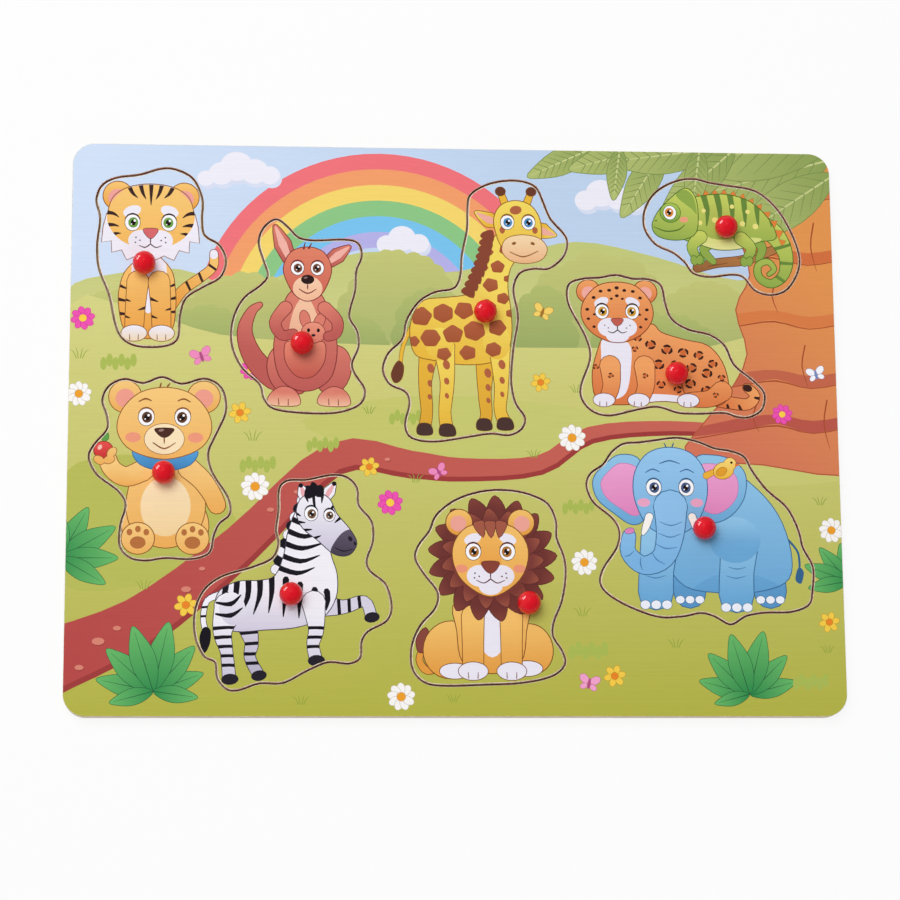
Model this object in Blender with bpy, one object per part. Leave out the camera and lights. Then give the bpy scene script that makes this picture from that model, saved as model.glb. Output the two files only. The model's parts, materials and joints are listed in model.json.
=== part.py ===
"""A wooden peg puzzle: a printed plywood tray glued to a thin plywood back, with nine animal-shaped
pieces that lift out of their pockets by a red knob.

The board lies flat. Its underside is the plane z = 0, its centre is the origin, +X runs along the long
side to the right of the picture, and +Y runs to the top of the picture.
"""

import math

import bmesh
import bpy
from mathutils import Matrix, Vector

MM = 0.001

# Board
BOARD_LENGTH = 300 * MM
BOARD_WIDTH = 225 * MM
BOARD_CORNER_RADIUS = 8.5 * MM
CORNER_STEPS = 6
TRAY_PLY = 3.0 * MM
BACK_PLY = 2.7 * MM
SEAT_GAP = 0.3 * MM  # glue line under the tray, and the play under a piece or a knob
END_BORDER = 8.2 * MM  # strip between a short edge of the board and the cut that comes nearest
SIDE_BORDER = 9.6 * MM  # the same along the long edges

# Pieces
PIECE_PLY = 3.0 * MM
KERF = 0.7 * MM  # width of the cut round each piece
STEPS_PER_SPAN = 3
CUTTER_OVERRUN = 1.0 * MM  # how far a cutter runs past the faces it cuts through

# Knob, a moulded ball head on a short neck
KNOB_HEIGHT = 8.8 * MM
KNOB_HEAD_RADIUS = 4.5 * MM
KNOB_NECK_RADIUS = 2.9 * MM
KNOB_FOOT_RADIUS = 3.4 * MM
KNOB_NECK_HEIGHT = 1.6 * MM
KNOB_BAND_HEIGHT = 0.9 * MM  # straight band at the head's widest, where the mould parts
KNOB_SIDES = 20
DOME_STEPS = 4
UNDERSIDE_STEPS = 2

# Screw that holds a knob from below
SCREW_RADIUS = 1.1 * MM
SCREW_HEAD_RADIUS = 2.5 * MM
SCREW_HEAD_HEIGHT = 1.4 * MM
SCREW_BITE = 5.0 * MM  # length inside the knob
SCREW_TIP = 1.2 * MM
SCREW_SIDES = 12
SCREW_CLEARANCE = 0.3 * MM
HEAD_RECESS = 0.2 * MM  # how deep the head sits in the underside
CROSS_SPAN = 2.8 * MM  # tip to tip of the cross that the screwdriver turns
CROSS_WIDTH = 0.7 * MM
CROSS_DEPTH = 0.9 * MM

# The cutting drawing. Each outline runs through the middle of its cut, in millimetres from the board's
# centre, and the knob's place is in the same measure.
TIGER = {
    "knob": (-121.5, 63.4),
    "outline": [
        (-113, 102.9), (-124, 100.1), (-133, 98.7), (-138.5, 95.5), (-140.6, 89.5), (-139, 82),
        (-140, 72), (-139.2, 62), (-135, 51), (-132.6, 40), (-129.5, 33.8), (-123, 30.9),
        (-113, 31.2), (-108.2, 34.5), (-107.5, 43), (-105.3, 50.3), (-98.5, 55), (-92, 59),
        (-89.8, 65.5), (-92.5, 71.9), (-98.2, 75.8), (-99.3, 82), (-99.3, 90.5), (-103.5, 99.2),
    ],
}
KANGAROO = {
    "knob": (-60.2, 32),
    "outline": [
        (-70.3, 82.7), (-75.2, 79.3), (-77.2, 73), (-75, 65), (-73.6, 59.8), (-76.5, 55.8),
        (-83, 50.5), (-87, 42), (-87.4, 32), (-83.5, 23), (-76.6, 16.3), (-74.8, 10.5),
        (-70.5, 6.5), (-58, 5), (-46, 5.4), (-37.5, 8.8), (-35.7, 14.5), (-39.3, 20.4),
        (-40.6, 25), (-38.1, 31.5), (-38.7, 38), (-41.7, 44), (-39.4, 54), (-38.9, 62),
        (-36.8, 68), (-38.3, 73.4), (-44, 74.8), (-55, 74.3), (-61.5, 75.4), (-65.6, 79.4),
    ],
}
GIRAFFE = {
    "knob": (11.3, 45.4),
    "outline": [
        (21.5, 99.8), (13, 98.1), (6.2, 93.8), (4.9, 88), (4.6, 79.5), (2.5, 69), (1.8, 60.5),
        (-0.8, 55.6), (-8, 54), (-14.5, 50), (-19.3, 42.5), (-21, 35), (-26.5, 29.2),
        (-28.7, 22.5), (-26, 16.8), (-20, 13.8), (-18.4, 9), (-20.1, 1), (-17.8, -4.3),
        (-9, -5.9), (3, -4.2), (13, -2.6), (20.5, -3.1), (25.5, -0.4), (26.6, 4.2), (23, 10),
        (21.5, 19), (22.6, 32), (24.5, 44), (22.8, 55), (25.3, 61.8), (31, 63.8), (37, 64),
        (43, 69.3), (44, 76.5), (38, 84), (35.2, 90.5), (32.5, 96.7), (28, 99.2),
    ],
}
LEOPARD = {
    "knob": (86.1, 21.2),
    "outline": [
        (45.3, 58.3), (51, 60.2), (57, 60.6), (63.5, 61.7), (70, 60.3), (76.5, 60.1),
        (81.3, 57.5), (82.9, 50), (85.5, 43.8), (92, 39.8), (100, 37.9), (106, 33.5),
        (109.6, 25.8), (116.5, 19.9), (121.2, 14.5), (120.2, 8), (115, 4.8), (110, 4.9),
        (105, 6.4), (96, 6), (87, 6.3), (79, 8.6), (71, 7.5), (60, 5), (53, 6.8), (49, 11.8),
        (49, 17.5), (52.6, 28), (50.8, 36.8), (45, 48), (43.8, 54),
    ],
}
CHAMELEON = {
    "knob": (107.2, 80.8),
    "outline": [
        (95.5, 101.5), (88.5, 100.6), (80.5, 96.3), (75.8, 89.5), (75, 81.5), (79.3, 74.5),
        (86.5, 70.9), (91, 67), (94.3, 62.7), (101, 61.3), (109.5, 62.3), (114.3, 61.2),
        (118.7, 56), (125, 54.2), (131.5, 56.5), (136, 63.5), (136.8, 71), (133, 82),
        (127.3, 91), (119.5, 97), (109, 98.9), (101.5, 100.1),
    ],
}
BEAR = {
    "knob": (-113, -19.4),
    "outline": [
        (-114, 18.9), (-121.3, 16.5), (-128.5, 18), (-134.5, 15.2), (-137, 9.5), (-135.3, 3.8),
        (-135, -1.8), (-139.8, -7.8), (-141.8, -13), (-138.5, -19.8), (-130.5, -26),
        (-127.5, -31.5), (-129.4, -39.5), (-129.4, -47.5), (-125.5, -51.9), (-119.5, -53),
        (-112, -52), (-102, -52.3), (-95.3, -49.8), (-93.7, -43.5), (-91.6, -38.6),
        (-87.5, -34.6), (-88.5, -28), (-94.3, -18.8), (-96, -11), (-93.3, -4), (-89.4, 5.5),
        (-91, 14.4), (-97.5, 18.4), (-106.6, 16.3),
    ],
}
ZEBRA = {
    "knob": (-64.1, -66.2),
    "outline": [
        (-48.5, -19.2), (-58, -21.1), (-65.5, -21.5), (-68.8, -25), (-69, -33), (-69.9, -41),
        (-69, -46.5), (-71.5, -51.9), (-79.5, -55.5), (-90, -58.7), (-97, -63.9), (-100.5, -72),
        (-100.4, -82), (-97, -89.6), (-92.8, -92), (-91.9, -98), (-88.3, -102.2), (-83.5, -102.5),
        (-76, -100), (-67, -99.8), (-58.5, -95.5), (-50, -91.9), (-42, -92.4), (-37.5, -90),
        (-37, -84), (-34.4, -79.9), (-27.5, -76), (-25.5, -70.3), (-27.8, -61.8), (-33.5, -56.9),
        (-35, -52.5), (-32.6, -45), (-33.2, -37.3), (-38, -31.2), (-38.7, -24.5), (-42.5, -20.2),
    ],
}
LION = {
    "knob": (27, -69.3),
    "outline": [
        (16, -24.7), (7, -25.9), (-1.5, -29.2), (-8.2, -34.8), (-11, -41), (-15.2, -46.7),
        (-16.4, -52), (-12.8, -58.2), (-8, -64.8), (-8.9, -71), (-14.5, -77.5), (-17.9, -85.5),
        (-17.8, -94), (-13.5, -99.3), (-6, -100.8), (10, -100.4), (25, -99.6), (36, -97),
        (40.9, -92.5), (39.8, -87.2), (36.6, -82), (36.8, -76.3), (40.1, -68), (41.7, -58),
        (41, -50.5), (38.4, -43.5), (38.2, -36.8), (34.8, -29.8), (26, -25.8),
    ],
}
ELEPHANT = {
    "knob": (95.5, -40),
    "outline": [
        (86, -3.6), (78, -4.6), (71.5, -5.5), (65, -6.2), (60.3, -9.6), (57, -14.3), (52, -18),
        (50.3, -23), (53, -29.5), (60, -35.5), (62.8, -41), (61.5, -47.5), (56.5, -55), (55, -61),
        (58.8, -66), (68, -71), (78, -74.2), (87, -73.9), (94, -72.6), (99.5, -74), (105.5, -77),
        (111.5, -73.8), (119, -72.4), (129, -72.1), (136.2, -69.3), (137.9, -63.5),
        (138.3, -54.5), (134.7, -47), (132.9, -39.5), (128.7, -31), (121, -24), (115.5, -16.5),
        (112.5, -11), (107, -8.7), (101, -7.7), (94, -5),
    ],
}
ANIMALS = {
    "tiger": TIGER,
    "kangaroo": KANGAROO,
    "giraffe": GIRAFFE,
    "chameleon": CHAMELEON,
    "leopard": LEOPARD,
    "bear": BEAR,
    "zebra": ZEBRA,
    "lion": LION,
    "elephant": ELEPHANT,
}

# Levels that follow from the driving dimensions
TRAY_BOTTOM = BACK_PLY + SEAT_GAP
TRAY_TOP = TRAY_BOTTOM + TRAY_PLY
PIECE_BOTTOM = BACK_PLY + SEAT_GAP
PIECE_TOP = PIECE_BOTTOM + PIECE_PLY
KNOB_BOTTOM = PIECE_TOP + SEAT_GAP
SCREW_HEAD_BOTTOM = PIECE_BOTTOM + HEAD_RECESS


def clear_scene():
    for obj in list(bpy.data.objects):
        bpy.data.objects.remove(obj)


def material(name, colour, roughness, metallic=0.0):
    made = bpy.data.materials.new(name)
    made.use_nodes = True
    shader = made.node_tree.nodes["Principled BSDF"]
    shader.inputs["Base Color"].default_value = (*colour, 1.0)
    shader.inputs["Roughness"].default_value = roughness
    shader.inputs["Metallic"].default_value = metallic
    return made


def drawing_scale():
    """How far the drawing is stretched along X and Y so that its outermost cuts keep the borders."""
    drawn = [point for animal in ANIMALS.values() for point in animal["outline"]]
    reach_x = max(abs(x) for x, y in drawn)
    reach_y = max(abs(y) for x, y in drawn)
    return Vector(
        ((BOARD_LENGTH / 2 - END_BORDER) / reach_x, (BOARD_WIDTH / 2 - SIDE_BORDER) / reach_y)
    )


def smooth_outline(points, scale):
    """A closed Catmull-Rom curve through the drawn points, on the board, as a list of 2-D vectors."""
    knots = [Vector(point) * scale for point in points]
    curve = []
    for i, start in enumerate(knots):
        before = knots[i - 1]
        end = knots[(i + 1) % len(knots)]
        after = knots[(i + 2) % len(knots)]
        for step in range(STEPS_PER_SPAN):
            t = step / STEPS_PER_SPAN
            curve.append(
                0.5
                * (
                    2 * start
                    + (end - before) * t
                    + (2 * before - 5 * start + 4 * end - after) * t**2
                    + (3 * start - before - 3 * end + after) * t**3
                )
            )
    return curve


def offset_outline(curve, distance):
    """The curve moved outwards by the distance, or inwards where it is negative."""
    count = len(curve)
    area = sum(curve[i - 1].cross(curve[i]) for i in range(count))
    outward = 1 if area > 0 else -1
    moved = []
    for i, point in enumerate(curve):
        along = (curve[(i + 1) % count] - curve[i - 1]).normalized()
        moved.append(point + Vector((along.y, -along.x)) * outward * distance)
    return moved


def rounded_rectangle(length, width, radius):
    """The board's outline, with each corner a quarter circle."""
    corners = (
        (length / 2 - radius, width / 2 - radius, 0),
        (radius - length / 2, width / 2 - radius, 90),
        (radius - length / 2, radius - width / 2, 180),
        (length / 2 - radius, radius - width / 2, 270),
    )
    outline = []
    for x, y, start in corners:
        for step in range(CORNER_STEPS + 1):
            angle = math.radians(start + 90 * step / CORNER_STEPS)
            outline.append(Vector((x + radius * math.cos(angle), y + radius * math.sin(angle))))
    return outline


def link(name, mesh, finish=None):
    obj = bpy.data.objects.new(name, mesh)
    bpy.context.scene.collection.objects.link(obj)
    if finish:
        mesh.materials.append(finish)
    return obj


def slab(name, outline, bottom, top, finish=None):
    """A flat sheet of this outline between two levels."""
    shape = bmesh.new()
    face = shape.faces.new([shape.verts.new((p.x, p.y, bottom)) for p in outline])
    lifted = bmesh.ops.extrude_face_region(shape, geom=[face])["geom"]
    raised = [v for v in lifted if isinstance(v, bmesh.types.BMVert)]
    bmesh.ops.translate(shape, verts=raised, vec=(0, 0, top - bottom))
    bmesh.ops.recalc_face_normals(shape, faces=shape.faces)
    mesh = bpy.data.meshes.new(name)
    shape.to_mesh(mesh)
    shape.free()
    return link(name, mesh, finish)


def turned(name, profile, sides, finish=None):
    """A closed profile of (radius, height) that starts and ends on the Z axis, spun round it."""
    shape = bmesh.new()
    points = [shape.verts.new((radius, 0, height)) for radius, height in profile]
    edges = [shape.edges.new(pair) for pair in zip(points, points[1:])]
    bmesh.ops.spin(
        shape, geom=points + edges, cent=(0, 0, 0), axis=(0, 0, 1), angle=2 * math.pi, steps=sides
    )
    bmesh.ops.remove_doubles(shape, verts=shape.verts, dist=0.01 * MM)
    bmesh.ops.recalc_face_normals(shape, faces=shape.faces)
    mesh = bpy.data.meshes.new(name)
    shape.to_mesh(mesh)
    shape.free()
    mesh.shade_smooth()
    mesh.set_sharp_from_angle(angle=math.radians(35))
    return link(name, mesh, finish)


def cut(obj, cutter):
    """Takes the cutter's shape out of the object and leaves the cutter as a guide."""
    cutter.hide_render = True
    cutter.display_type = "WIRE"
    boolean = obj.modifiers.new(cutter.name, "BOOLEAN")
    boolean.operation = "DIFFERENCE"
    boolean.object = cutter


def knob_profile():
    """Dome, parting band, rounded underside, neck and foot, then up the pilot hole to its end."""
    overhang = KNOB_HEAD_RADIUS - KNOB_NECK_RADIUS
    band_bottom = KNOB_NECK_HEIGHT + overhang
    band_top = band_bottom + KNOB_BAND_HEIGHT
    dome_height = KNOB_HEIGHT - band_top
    profile = []
    for step in range(DOME_STEPS + 1):
        angle = math.pi / 2 * step / DOME_STEPS
        radius = KNOB_HEAD_RADIUS * math.sin(angle)
        profile.append((radius, band_top + dome_height * math.cos(angle)))
    for step in range(UNDERSIDE_STEPS + 1):
        angle = math.pi / 2 * step / UNDERSIDE_STEPS
        radius = KNOB_NECK_RADIUS + overhang * math.cos(angle)
        profile.append((radius, band_bottom - overhang * math.sin(angle)))
    bore = SCREW_RADIUS + SCREW_CLEARANCE
    bore_top = SCREW_BITE + SCREW_CLEARANCE
    profile += [(KNOB_FOOT_RADIUS, 0), (bore, 0), (bore, bore_top), (0, bore_top)]
    return profile


def screw_profile():
    """Point, shank and countersunk head, from the top down, with the head's flat face at zero."""
    length = PIECE_TOP - SCREW_HEAD_BOTTOM + SEAT_GAP + SCREW_BITE
    return [
        (0, length),
        (SCREW_RADIUS, length - SCREW_TIP),
        (SCREW_RADIUS, SCREW_HEAD_HEIGHT),
        (SCREW_HEAD_RADIUS, 0.3 * SCREW_HEAD_HEIGHT),
        (SCREW_HEAD_RADIUS, 0),
        (0, 0),
    ]


def screw_hole_profile():
    """The countersunk hole in a piece, measured from the screw head's flat face."""
    below = SCREW_HEAD_BOTTOM - PIECE_BOTTOM + CUTTER_OVERRUN
    above = PIECE_TOP - SCREW_HEAD_BOTTOM + CUTTER_OVERRUN
    shank = SCREW_RADIUS + SCREW_CLEARANCE
    head = SCREW_HEAD_RADIUS + SCREW_CLEARANCE
    return [
        (0, above),
        (shank, above),
        (shank, SCREW_HEAD_HEIGHT + SCREW_CLEARANCE),
        (head, 0.3 * SCREW_HEAD_HEIGHT + SCREW_CLEARANCE),
        (head, -below),
        (0, -below),
    ]


def cross_outline():
    """The cross in a screw head, as a closed outline of twelve corners."""
    reach = CROSS_SPAN / 2
    half = CROSS_WIDTH / 2
    arm = [Vector((half, half)), Vector((reach, half)), Vector((reach, -half))]
    return [
        Matrix.Rotation(math.radians(-90 * turn), 2) @ corner for turn in range(4) for corner in arm
    ]


def build_board(scale, plywood, printed):
    """The back and the tray, both with the board's outline, and the tray's open pockets."""
    outline = rounded_rectangle(BOARD_LENGTH, BOARD_WIDTH, BOARD_CORNER_RADIUS)
    slab("back_board", outline, 0, BACK_PLY, plywood)
    tray = slab("tray_board", outline, TRAY_BOTTOM, TRAY_TOP, printed)
    for name, animal in ANIMALS.items():
        pocket = offset_outline(smooth_outline(animal["outline"], scale), KERF / 2)
        low = TRAY_BOTTOM - CUTTER_OVERRUN
        high = TRAY_TOP + CUTTER_OVERRUN
        cut(tray, slab(f"{name}_pocket_cutter", pocket, low, high))


def build_piece(name, animal, scale, printed, red, steel):
    """One piece with its knob and screw, under an empty on the line the knob is lifted along."""
    centre = Vector(animal["knob"]) * scale
    edge = offset_outline(smooth_outline(animal["outline"], scale), -KERF / 2)
    outline = [point - centre for point in edge]

    plate = slab(f"{name}_piece", outline, PIECE_BOTTOM, PIECE_TOP, printed)
    hole = turned(f"{name}_screw_hole_cutter", screw_hole_profile(), SCREW_SIDES)
    hole.location.z = SCREW_HEAD_BOTTOM
    cut(plate, hole)

    knob = turned(f"{name}_knob", knob_profile(), KNOB_SIDES, red)
    knob.location.z = KNOB_BOTTOM

    screw = turned(f"{name}_screw", screw_profile(), SCREW_SIDES, steel)
    screw.location.z = SCREW_HEAD_BOTTOM
    cross = slab(f"{name}_cross_cutter", cross_outline(), -CUTTER_OVERRUN, CROSS_DEPTH)
    cross.location.z = SCREW_HEAD_BOTTOM
    cut(screw, cross)

    group = bpy.data.objects.new(f"{name}_lift", None)
    bpy.context.scene.collection.objects.link(group)
    group.location = (centre.x, centre.y, 0)
    for obj in (plate, hole, knob, screw, cross):
        obj.parent = group


def main():
    clear_scene()
    plywood = material("basswood_plywood", (0.78, 0.62, 0.42), 0.6)
    printed = material("printed_plywood", (0.60, 0.62, 0.24), 0.4)
    red = material("red_plastic", (0.78, 0.02, 0.03), 0.2)
    steel = material("zinc_plated_steel", (0.62, 0.62, 0.64), 0.35, 1.0)
    scale = drawing_scale()
    build_board(scale, plywood, printed)
    for name, animal in ANIMALS.items():
        build_piece(name, animal, scale, printed, red, steel)


main()
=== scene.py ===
# %% [markdown]
# # A wooden animal puzzle
# The object is a flat tray of two plywood boards. The upper one has nine holes, and in each lies an
# animal with a red knob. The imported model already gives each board, piece, knob and screw its size
# and place, so this script only dresses them: it paints the picture, rounds the edges, and gives
# every surface the look of what it is made of. All of it is drawn by the shapes written here.

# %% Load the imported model
import json
import math
import random
from functools import partial

import bmesh
import bpy
import numpy as np
from mathutils import Matrix, Vector
from mathutils.geometry import delaunay_2d_cdt

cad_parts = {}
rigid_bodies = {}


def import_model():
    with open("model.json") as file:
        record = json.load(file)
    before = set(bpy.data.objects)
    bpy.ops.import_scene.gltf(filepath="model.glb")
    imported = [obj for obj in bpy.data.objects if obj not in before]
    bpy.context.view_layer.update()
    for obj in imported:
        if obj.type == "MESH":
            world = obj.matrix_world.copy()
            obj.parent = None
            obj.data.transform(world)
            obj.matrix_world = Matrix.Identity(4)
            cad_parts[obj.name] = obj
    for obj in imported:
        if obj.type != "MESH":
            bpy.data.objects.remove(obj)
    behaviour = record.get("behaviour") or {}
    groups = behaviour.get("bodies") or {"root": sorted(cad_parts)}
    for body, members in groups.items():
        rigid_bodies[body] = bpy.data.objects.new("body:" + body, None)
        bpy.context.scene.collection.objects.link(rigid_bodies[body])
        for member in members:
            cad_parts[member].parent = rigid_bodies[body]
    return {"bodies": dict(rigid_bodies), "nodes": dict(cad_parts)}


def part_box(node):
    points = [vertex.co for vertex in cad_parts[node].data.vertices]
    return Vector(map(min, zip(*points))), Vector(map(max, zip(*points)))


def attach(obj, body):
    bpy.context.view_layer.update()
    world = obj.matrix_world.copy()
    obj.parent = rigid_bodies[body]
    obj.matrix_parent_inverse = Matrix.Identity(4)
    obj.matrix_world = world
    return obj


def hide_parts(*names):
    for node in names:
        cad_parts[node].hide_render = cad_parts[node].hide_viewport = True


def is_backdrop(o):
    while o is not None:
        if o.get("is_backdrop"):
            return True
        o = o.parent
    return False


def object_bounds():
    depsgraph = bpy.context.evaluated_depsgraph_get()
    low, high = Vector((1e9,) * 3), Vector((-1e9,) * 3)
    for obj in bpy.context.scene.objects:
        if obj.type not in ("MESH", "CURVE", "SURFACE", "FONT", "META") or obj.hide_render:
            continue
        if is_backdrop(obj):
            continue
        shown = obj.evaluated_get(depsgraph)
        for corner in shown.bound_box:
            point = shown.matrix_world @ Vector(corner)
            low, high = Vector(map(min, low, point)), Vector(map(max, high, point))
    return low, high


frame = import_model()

MM = 0.001
ANIMALS = sorted(name for name in frame["bodies"] if name != "board")
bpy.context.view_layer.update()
print("animals:", ", ".join(ANIMALS))

# %% [markdown]
# ## Colours, nodes and materials
# Colours are written as hex values, as a paint program shows them. A renderer adds up light, so it
# wants linear values, and one function turns the first into the second. Another adds a shader node
# with its settings and fills its sockets, each with a value or with another node. A material is then
# a short function that adds its nodes to a tree and gives back the last one, its shader.

# %% Small helpers for materials
def linear(colour):
    """An sRGB hex colour as linear values."""
    shares = [int(colour[i:i + 2], 16) / 255 for i in (1, 3, 5)]
    return [c / 12.92 if c < 0.04045 else ((c + 0.055) / 1.055) ** 2.4 for c in shares] + [1.0]


def add(tree, kind, sockets=None, stops=(), **settings):
    """Adds a shader node: its settings, the stops of its colour ramp, and what goes into its sockets."""
    node = tree.nodes.new("ShaderNode" + kind)
    for name, value in settings.items():
        setattr(node, name, value)
    for k, (spot, colour) in enumerate(stops):
        node.color_ramp.elements[k].position = spot
        node.color_ramp.elements[k].color = linear(colour)
    for name, source in (sockets or {}).items():
        if isinstance(source, bpy.types.Node):
            source = source.outputs[0]
        if isinstance(source, bpy.types.NodeSocket):
            tree.links.new(source, node.inputs[name])
        else:
            node.inputs[name].default_value = source
    return node


def new_material(name, finish):
    """A material whose shader is made by a function of its node tree."""
    material = bpy.data.materials.new(name)
    material.use_nodes = True
    material.node_tree.nodes.clear()
    add(material.node_tree, "OutputMaterial", {"Surface": finish(material.node_tree)})
    print("material:", name)
    return material


print("brick red as linear light:", [round(c, 3) for c in linear("#B9504A")])

# %% [markdown]
# ## The camera
# The board was seen from almost straight above, a little from the front, with a long lens: its near
# and far edges are almost the same length. The camera stands where the board's corners and knobs
# fall on the places that they have in the picture.

# %% Place the camera
CAMERA_PLACE = (-81.4, -218.7, 1068.3)
CAMERA_RIGHT = (0.99735, -0.00727, 0.07246)
CAMERA_UP = (-0.00688, 0.98117, 0.19304)
CAMERA_BACK = (-0.07249, -0.19302, 0.97851)


def new_object(name, data):
    """An object that holds the given data, linked to the scene."""
    thing = bpy.data.objects.new(name, data)
    bpy.context.scene.collection.objects.link(thing)
    return thing


camera = new_object("camera", bpy.data.cameras.new("camera"))
camera.data.lens = 112
camera.data.sensor_width = 36
camera.data.clip_end = 20
turn = Matrix((CAMERA_RIGHT, CAMERA_UP, CAMERA_BACK)).transposed()
camera.matrix_world = Matrix.Translation(Vector(CAMERA_PLACE) * MM) @ turn.to_4x4()
bpy.context.scene.camera = camera
print("camera distance in mm:", round(Vector(CAMERA_PLACE).length))

# %% [markdown]
# ## Floor and light
# The board lies on a plain white sheet under soft studio light. A wide lamp nearly overhead keeps the
# shadows short and lets them fall to the lower right, and a weak one fills in from the front. A low
# window at the left only shines back from glossy surfaces: it puts the highlight on the knobs and a
# bright line on the rims that face it. The studio's left wall is pale and its right side darker, so
# the knobs keep their round shading. Only the camera and glossy surfaces see the floor lifted to
# white, and the object's shadow stays on it.

# %% Lay the floor
FLOOR_LIFT = 0.88


def white_paper(tree):
    paper = add(tree, "BsdfDiffuse", {"Color": linear("#F4F4F2")})
    seen = add(tree, "Emission", {"Color": (1, 1, 1, 1), "Strength": 1.0})
    rays = add(tree, "LightPath").outputs
    direct = add(tree, "Math", {0: rays["Is Camera Ray"], 1: rays["Is Glossy Ray"]}, operation="MAXIMUM")
    share = add(tree, "Math", {0: direct, 1: FLOOR_LIFT}, operation="MULTIPLY")
    return add(tree, "MixShader", {0: share, 1: paper, 2: seen})


bpy.ops.object.select_all(action="DESELECT")
bpy.ops.mesh.primitive_plane_add(size=6, location=(0, 0, 0))
floor = bpy.context.object
floor.name = "floor"
floor.data.materials.append(new_material("white paper sweep", white_paper))
floor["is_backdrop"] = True

# %% Hang the lamps
def hang_lamp(name, place, size, watts, colour, lights, shines):
    """A softbox that points at the board. It lights matt surfaces, shines back from glossy ones, or both."""
    lamp = new_object(name, bpy.data.lights.new(name, "AREA"))
    lamp.data.shape = "RECTANGLE"
    lamp.data.size, lamp.data.size_y = size
    lamp.data.energy = watts
    lamp.data.color = linear(colour)[:3]
    lamp.visible_diffuse, lamp.visible_glossy = lights, shines
    lamp.location = place
    lamp.rotation_euler = (-Vector(place)).to_track_quat("-Z", "Y").to_euler()


hang_lamp("key", (-0.36, 0.42, 1.35), (0.9, 0.9), 13.8, "#FDFBFF", True, False)
hang_lamp("window", (-1.4, 1.05, 0.42), (1.0, 0.6), 24.0, "#FFFDFF", False, True)
hang_lamp("fill", (0.6, -1.3, 0.9), (1.4, 0.9), 5.5, "#F6F8FF", True, False)

# %% Paint the studio
BRIGHT_WALL = (-0.85, 0.53, 0.0)
world = bpy.context.scene.world or bpy.data.worlds.new("studio")
bpy.context.scene.world = world
world.use_nodes = True
tree = world.node_tree
tree.nodes.clear()
direction = add(tree, "TexCoord").outputs["Generated"]
towards = add(tree, "VectorMath", {0: direction, 1: BRIGHT_WALL}, operation="DOT_PRODUCT").outputs[
    "Value"]
glow = add(tree, "MapRange", {0: towards, 1: -0.2, 2: 1.0, 3: 0.2, 4: 0.7})
studio = add(tree, "Background", {"Color": linear("#FBFBFF"), "Strength": glow})
white = add(tree, "Background", {"Color": (1, 1, 1, 1), "Strength": 1.0})
seen = add(tree, "LightPath").outputs["Is Camera Ray"]
add(tree, "OutputWorld", {"Surface": add(tree, "MixShader", {0: seen, 1: studio, 2: white})})
bpy.context.scene.view_settings.view_transform = "Standard"
print("the studio has", len(tree.nodes), "nodes")

# %% [markdown]
# ## Drawing with shapes
# The picture is printed in flat inks, like a screen print, so it can be drawn as flat shapes laid
# over each other: ovals, smooth outlines through a few points, and brush strokes whose width changes.
# An image file would be quicker, but it blurs up close, and shapes stay sharp from any distance.
# All drawing is in millimetres on the board, with its middle as zero, and angles are in degrees.

# %% Ovals, smooth lines and brush strokes
def around(x, y, reach, turn, squash=1):
    """The point at a distance and an angle from (x, y), on a circle or on a flatter oval."""
    a = math.radians(turn)
    return x + reach * math.cos(a), y + reach * squash * math.sin(a)


def between(a, b, share=0.5):
    """The point that lies part of the way from one point to another."""
    return a[0] + (b[0] - a[0]) * share, a[1] + (b[1] - a[1]) * share


def moved(shape, dx, dy, turn=0):
    """A shape drawn round the origin, turned and put in its place."""
    c, s = around(0, 0, 1, turn)
    return [(dx + u * c - v * s, dy + u * s + v * c) for u, v in shape]


def mirrored(shape):
    """The shape seen in a mirror that stands in the middle."""
    return [(-x, y) for x, y in reversed(shape)]


def whole(half):
    """A symmetric outline from the points of its right half."""
    return half + mirrored([(x, y) for x, y in half if x])


def oval(x, y, rx, ry=None, turn=0, steps=28):
    """A circle or ellipse, turned anticlockwise."""
    squash = (ry or rx) / rx
    return moved([around(0, 0, rx, 360 * i / steps, squash) for i in range(steps)], x, y, turn)


def spline(points, closed=True, steps=4):
    """A smooth line through given points."""
    chain = [points[-1], *points, *points[:2]] if closed else [points[0], *points, points[-1]]
    line = []
    for four in zip(chain, chain[1:], chain[2:], chain[3:]):
        for t in (step / steps for step in range(steps)):
            line.append(tuple(q + ((r - p) * t + (2 * p - 5 * q + 4 * r - s) * t ** 2 + (
                3 * q - p - 3 * r + s) * t ** 3) / 2 for p, q, r, s in zip(*four)))
    return line if closed else line + [points[-1]]


def stroke(points, widths, steps=4, tip=5):
    """A brush stroke along a smooth line. Its width runs through the given ones, and its ends are round."""
    line = spline(points, closed=False, steps=steps)
    halves = np.interp(np.linspace(0, len(widths) - 1, len(line)), range(len(widths)), widths) / 2
    turns = [math.degrees(math.atan2(by - ay, bx - ax)) for (ax, ay),
        (bx, by) in zip(line[:1] + line, line[1:] + line[-1:])]

    def side(quarter):
        return [around(x, y, half, turn + quarter) for (x, y), half, turn in zip(line, halves, turns)]

    def cap(end, turn):
        round_end = range(1, tip + 1) if halves[end] > 0.3 else ()
        return [around(*line[end], halves[end], turn + 90 - 180 * k / (tip + 1)) for k in round_end]

    return side(90) + cap(-1, turns[-1]) + side(-90)[::-1] + cap(0, turns[0] + 180)


def area(loop):
    """The area inside an outline, which is below zero where the outline runs clockwise."""
    return sum(ax * by - bx * ay for (ax, ay), (bx, by) in zip(loop, loop[1:] + loop[:1])) / 2


def grown(shape, reach):
    """The shape's outline moved outwards."""
    side = reach if area(shape) > 0 else -reach
    ring = []
    for (ax, ay), (x, y), (bx, by) in zip(shape[-1:] + shape, shape, shape[1:] + shape[:1]):
        length = math.hypot(bx - ax, by - ay) or 1
        ring.append((x + (by - ay) / length * side, y - (bx - ax) / length * side))
    return ring


print("a stroke of 3 points has", len(stroke([(0, 0), (5, 2), (9, 0)], [1, 2, 1])), "corners")

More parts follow.
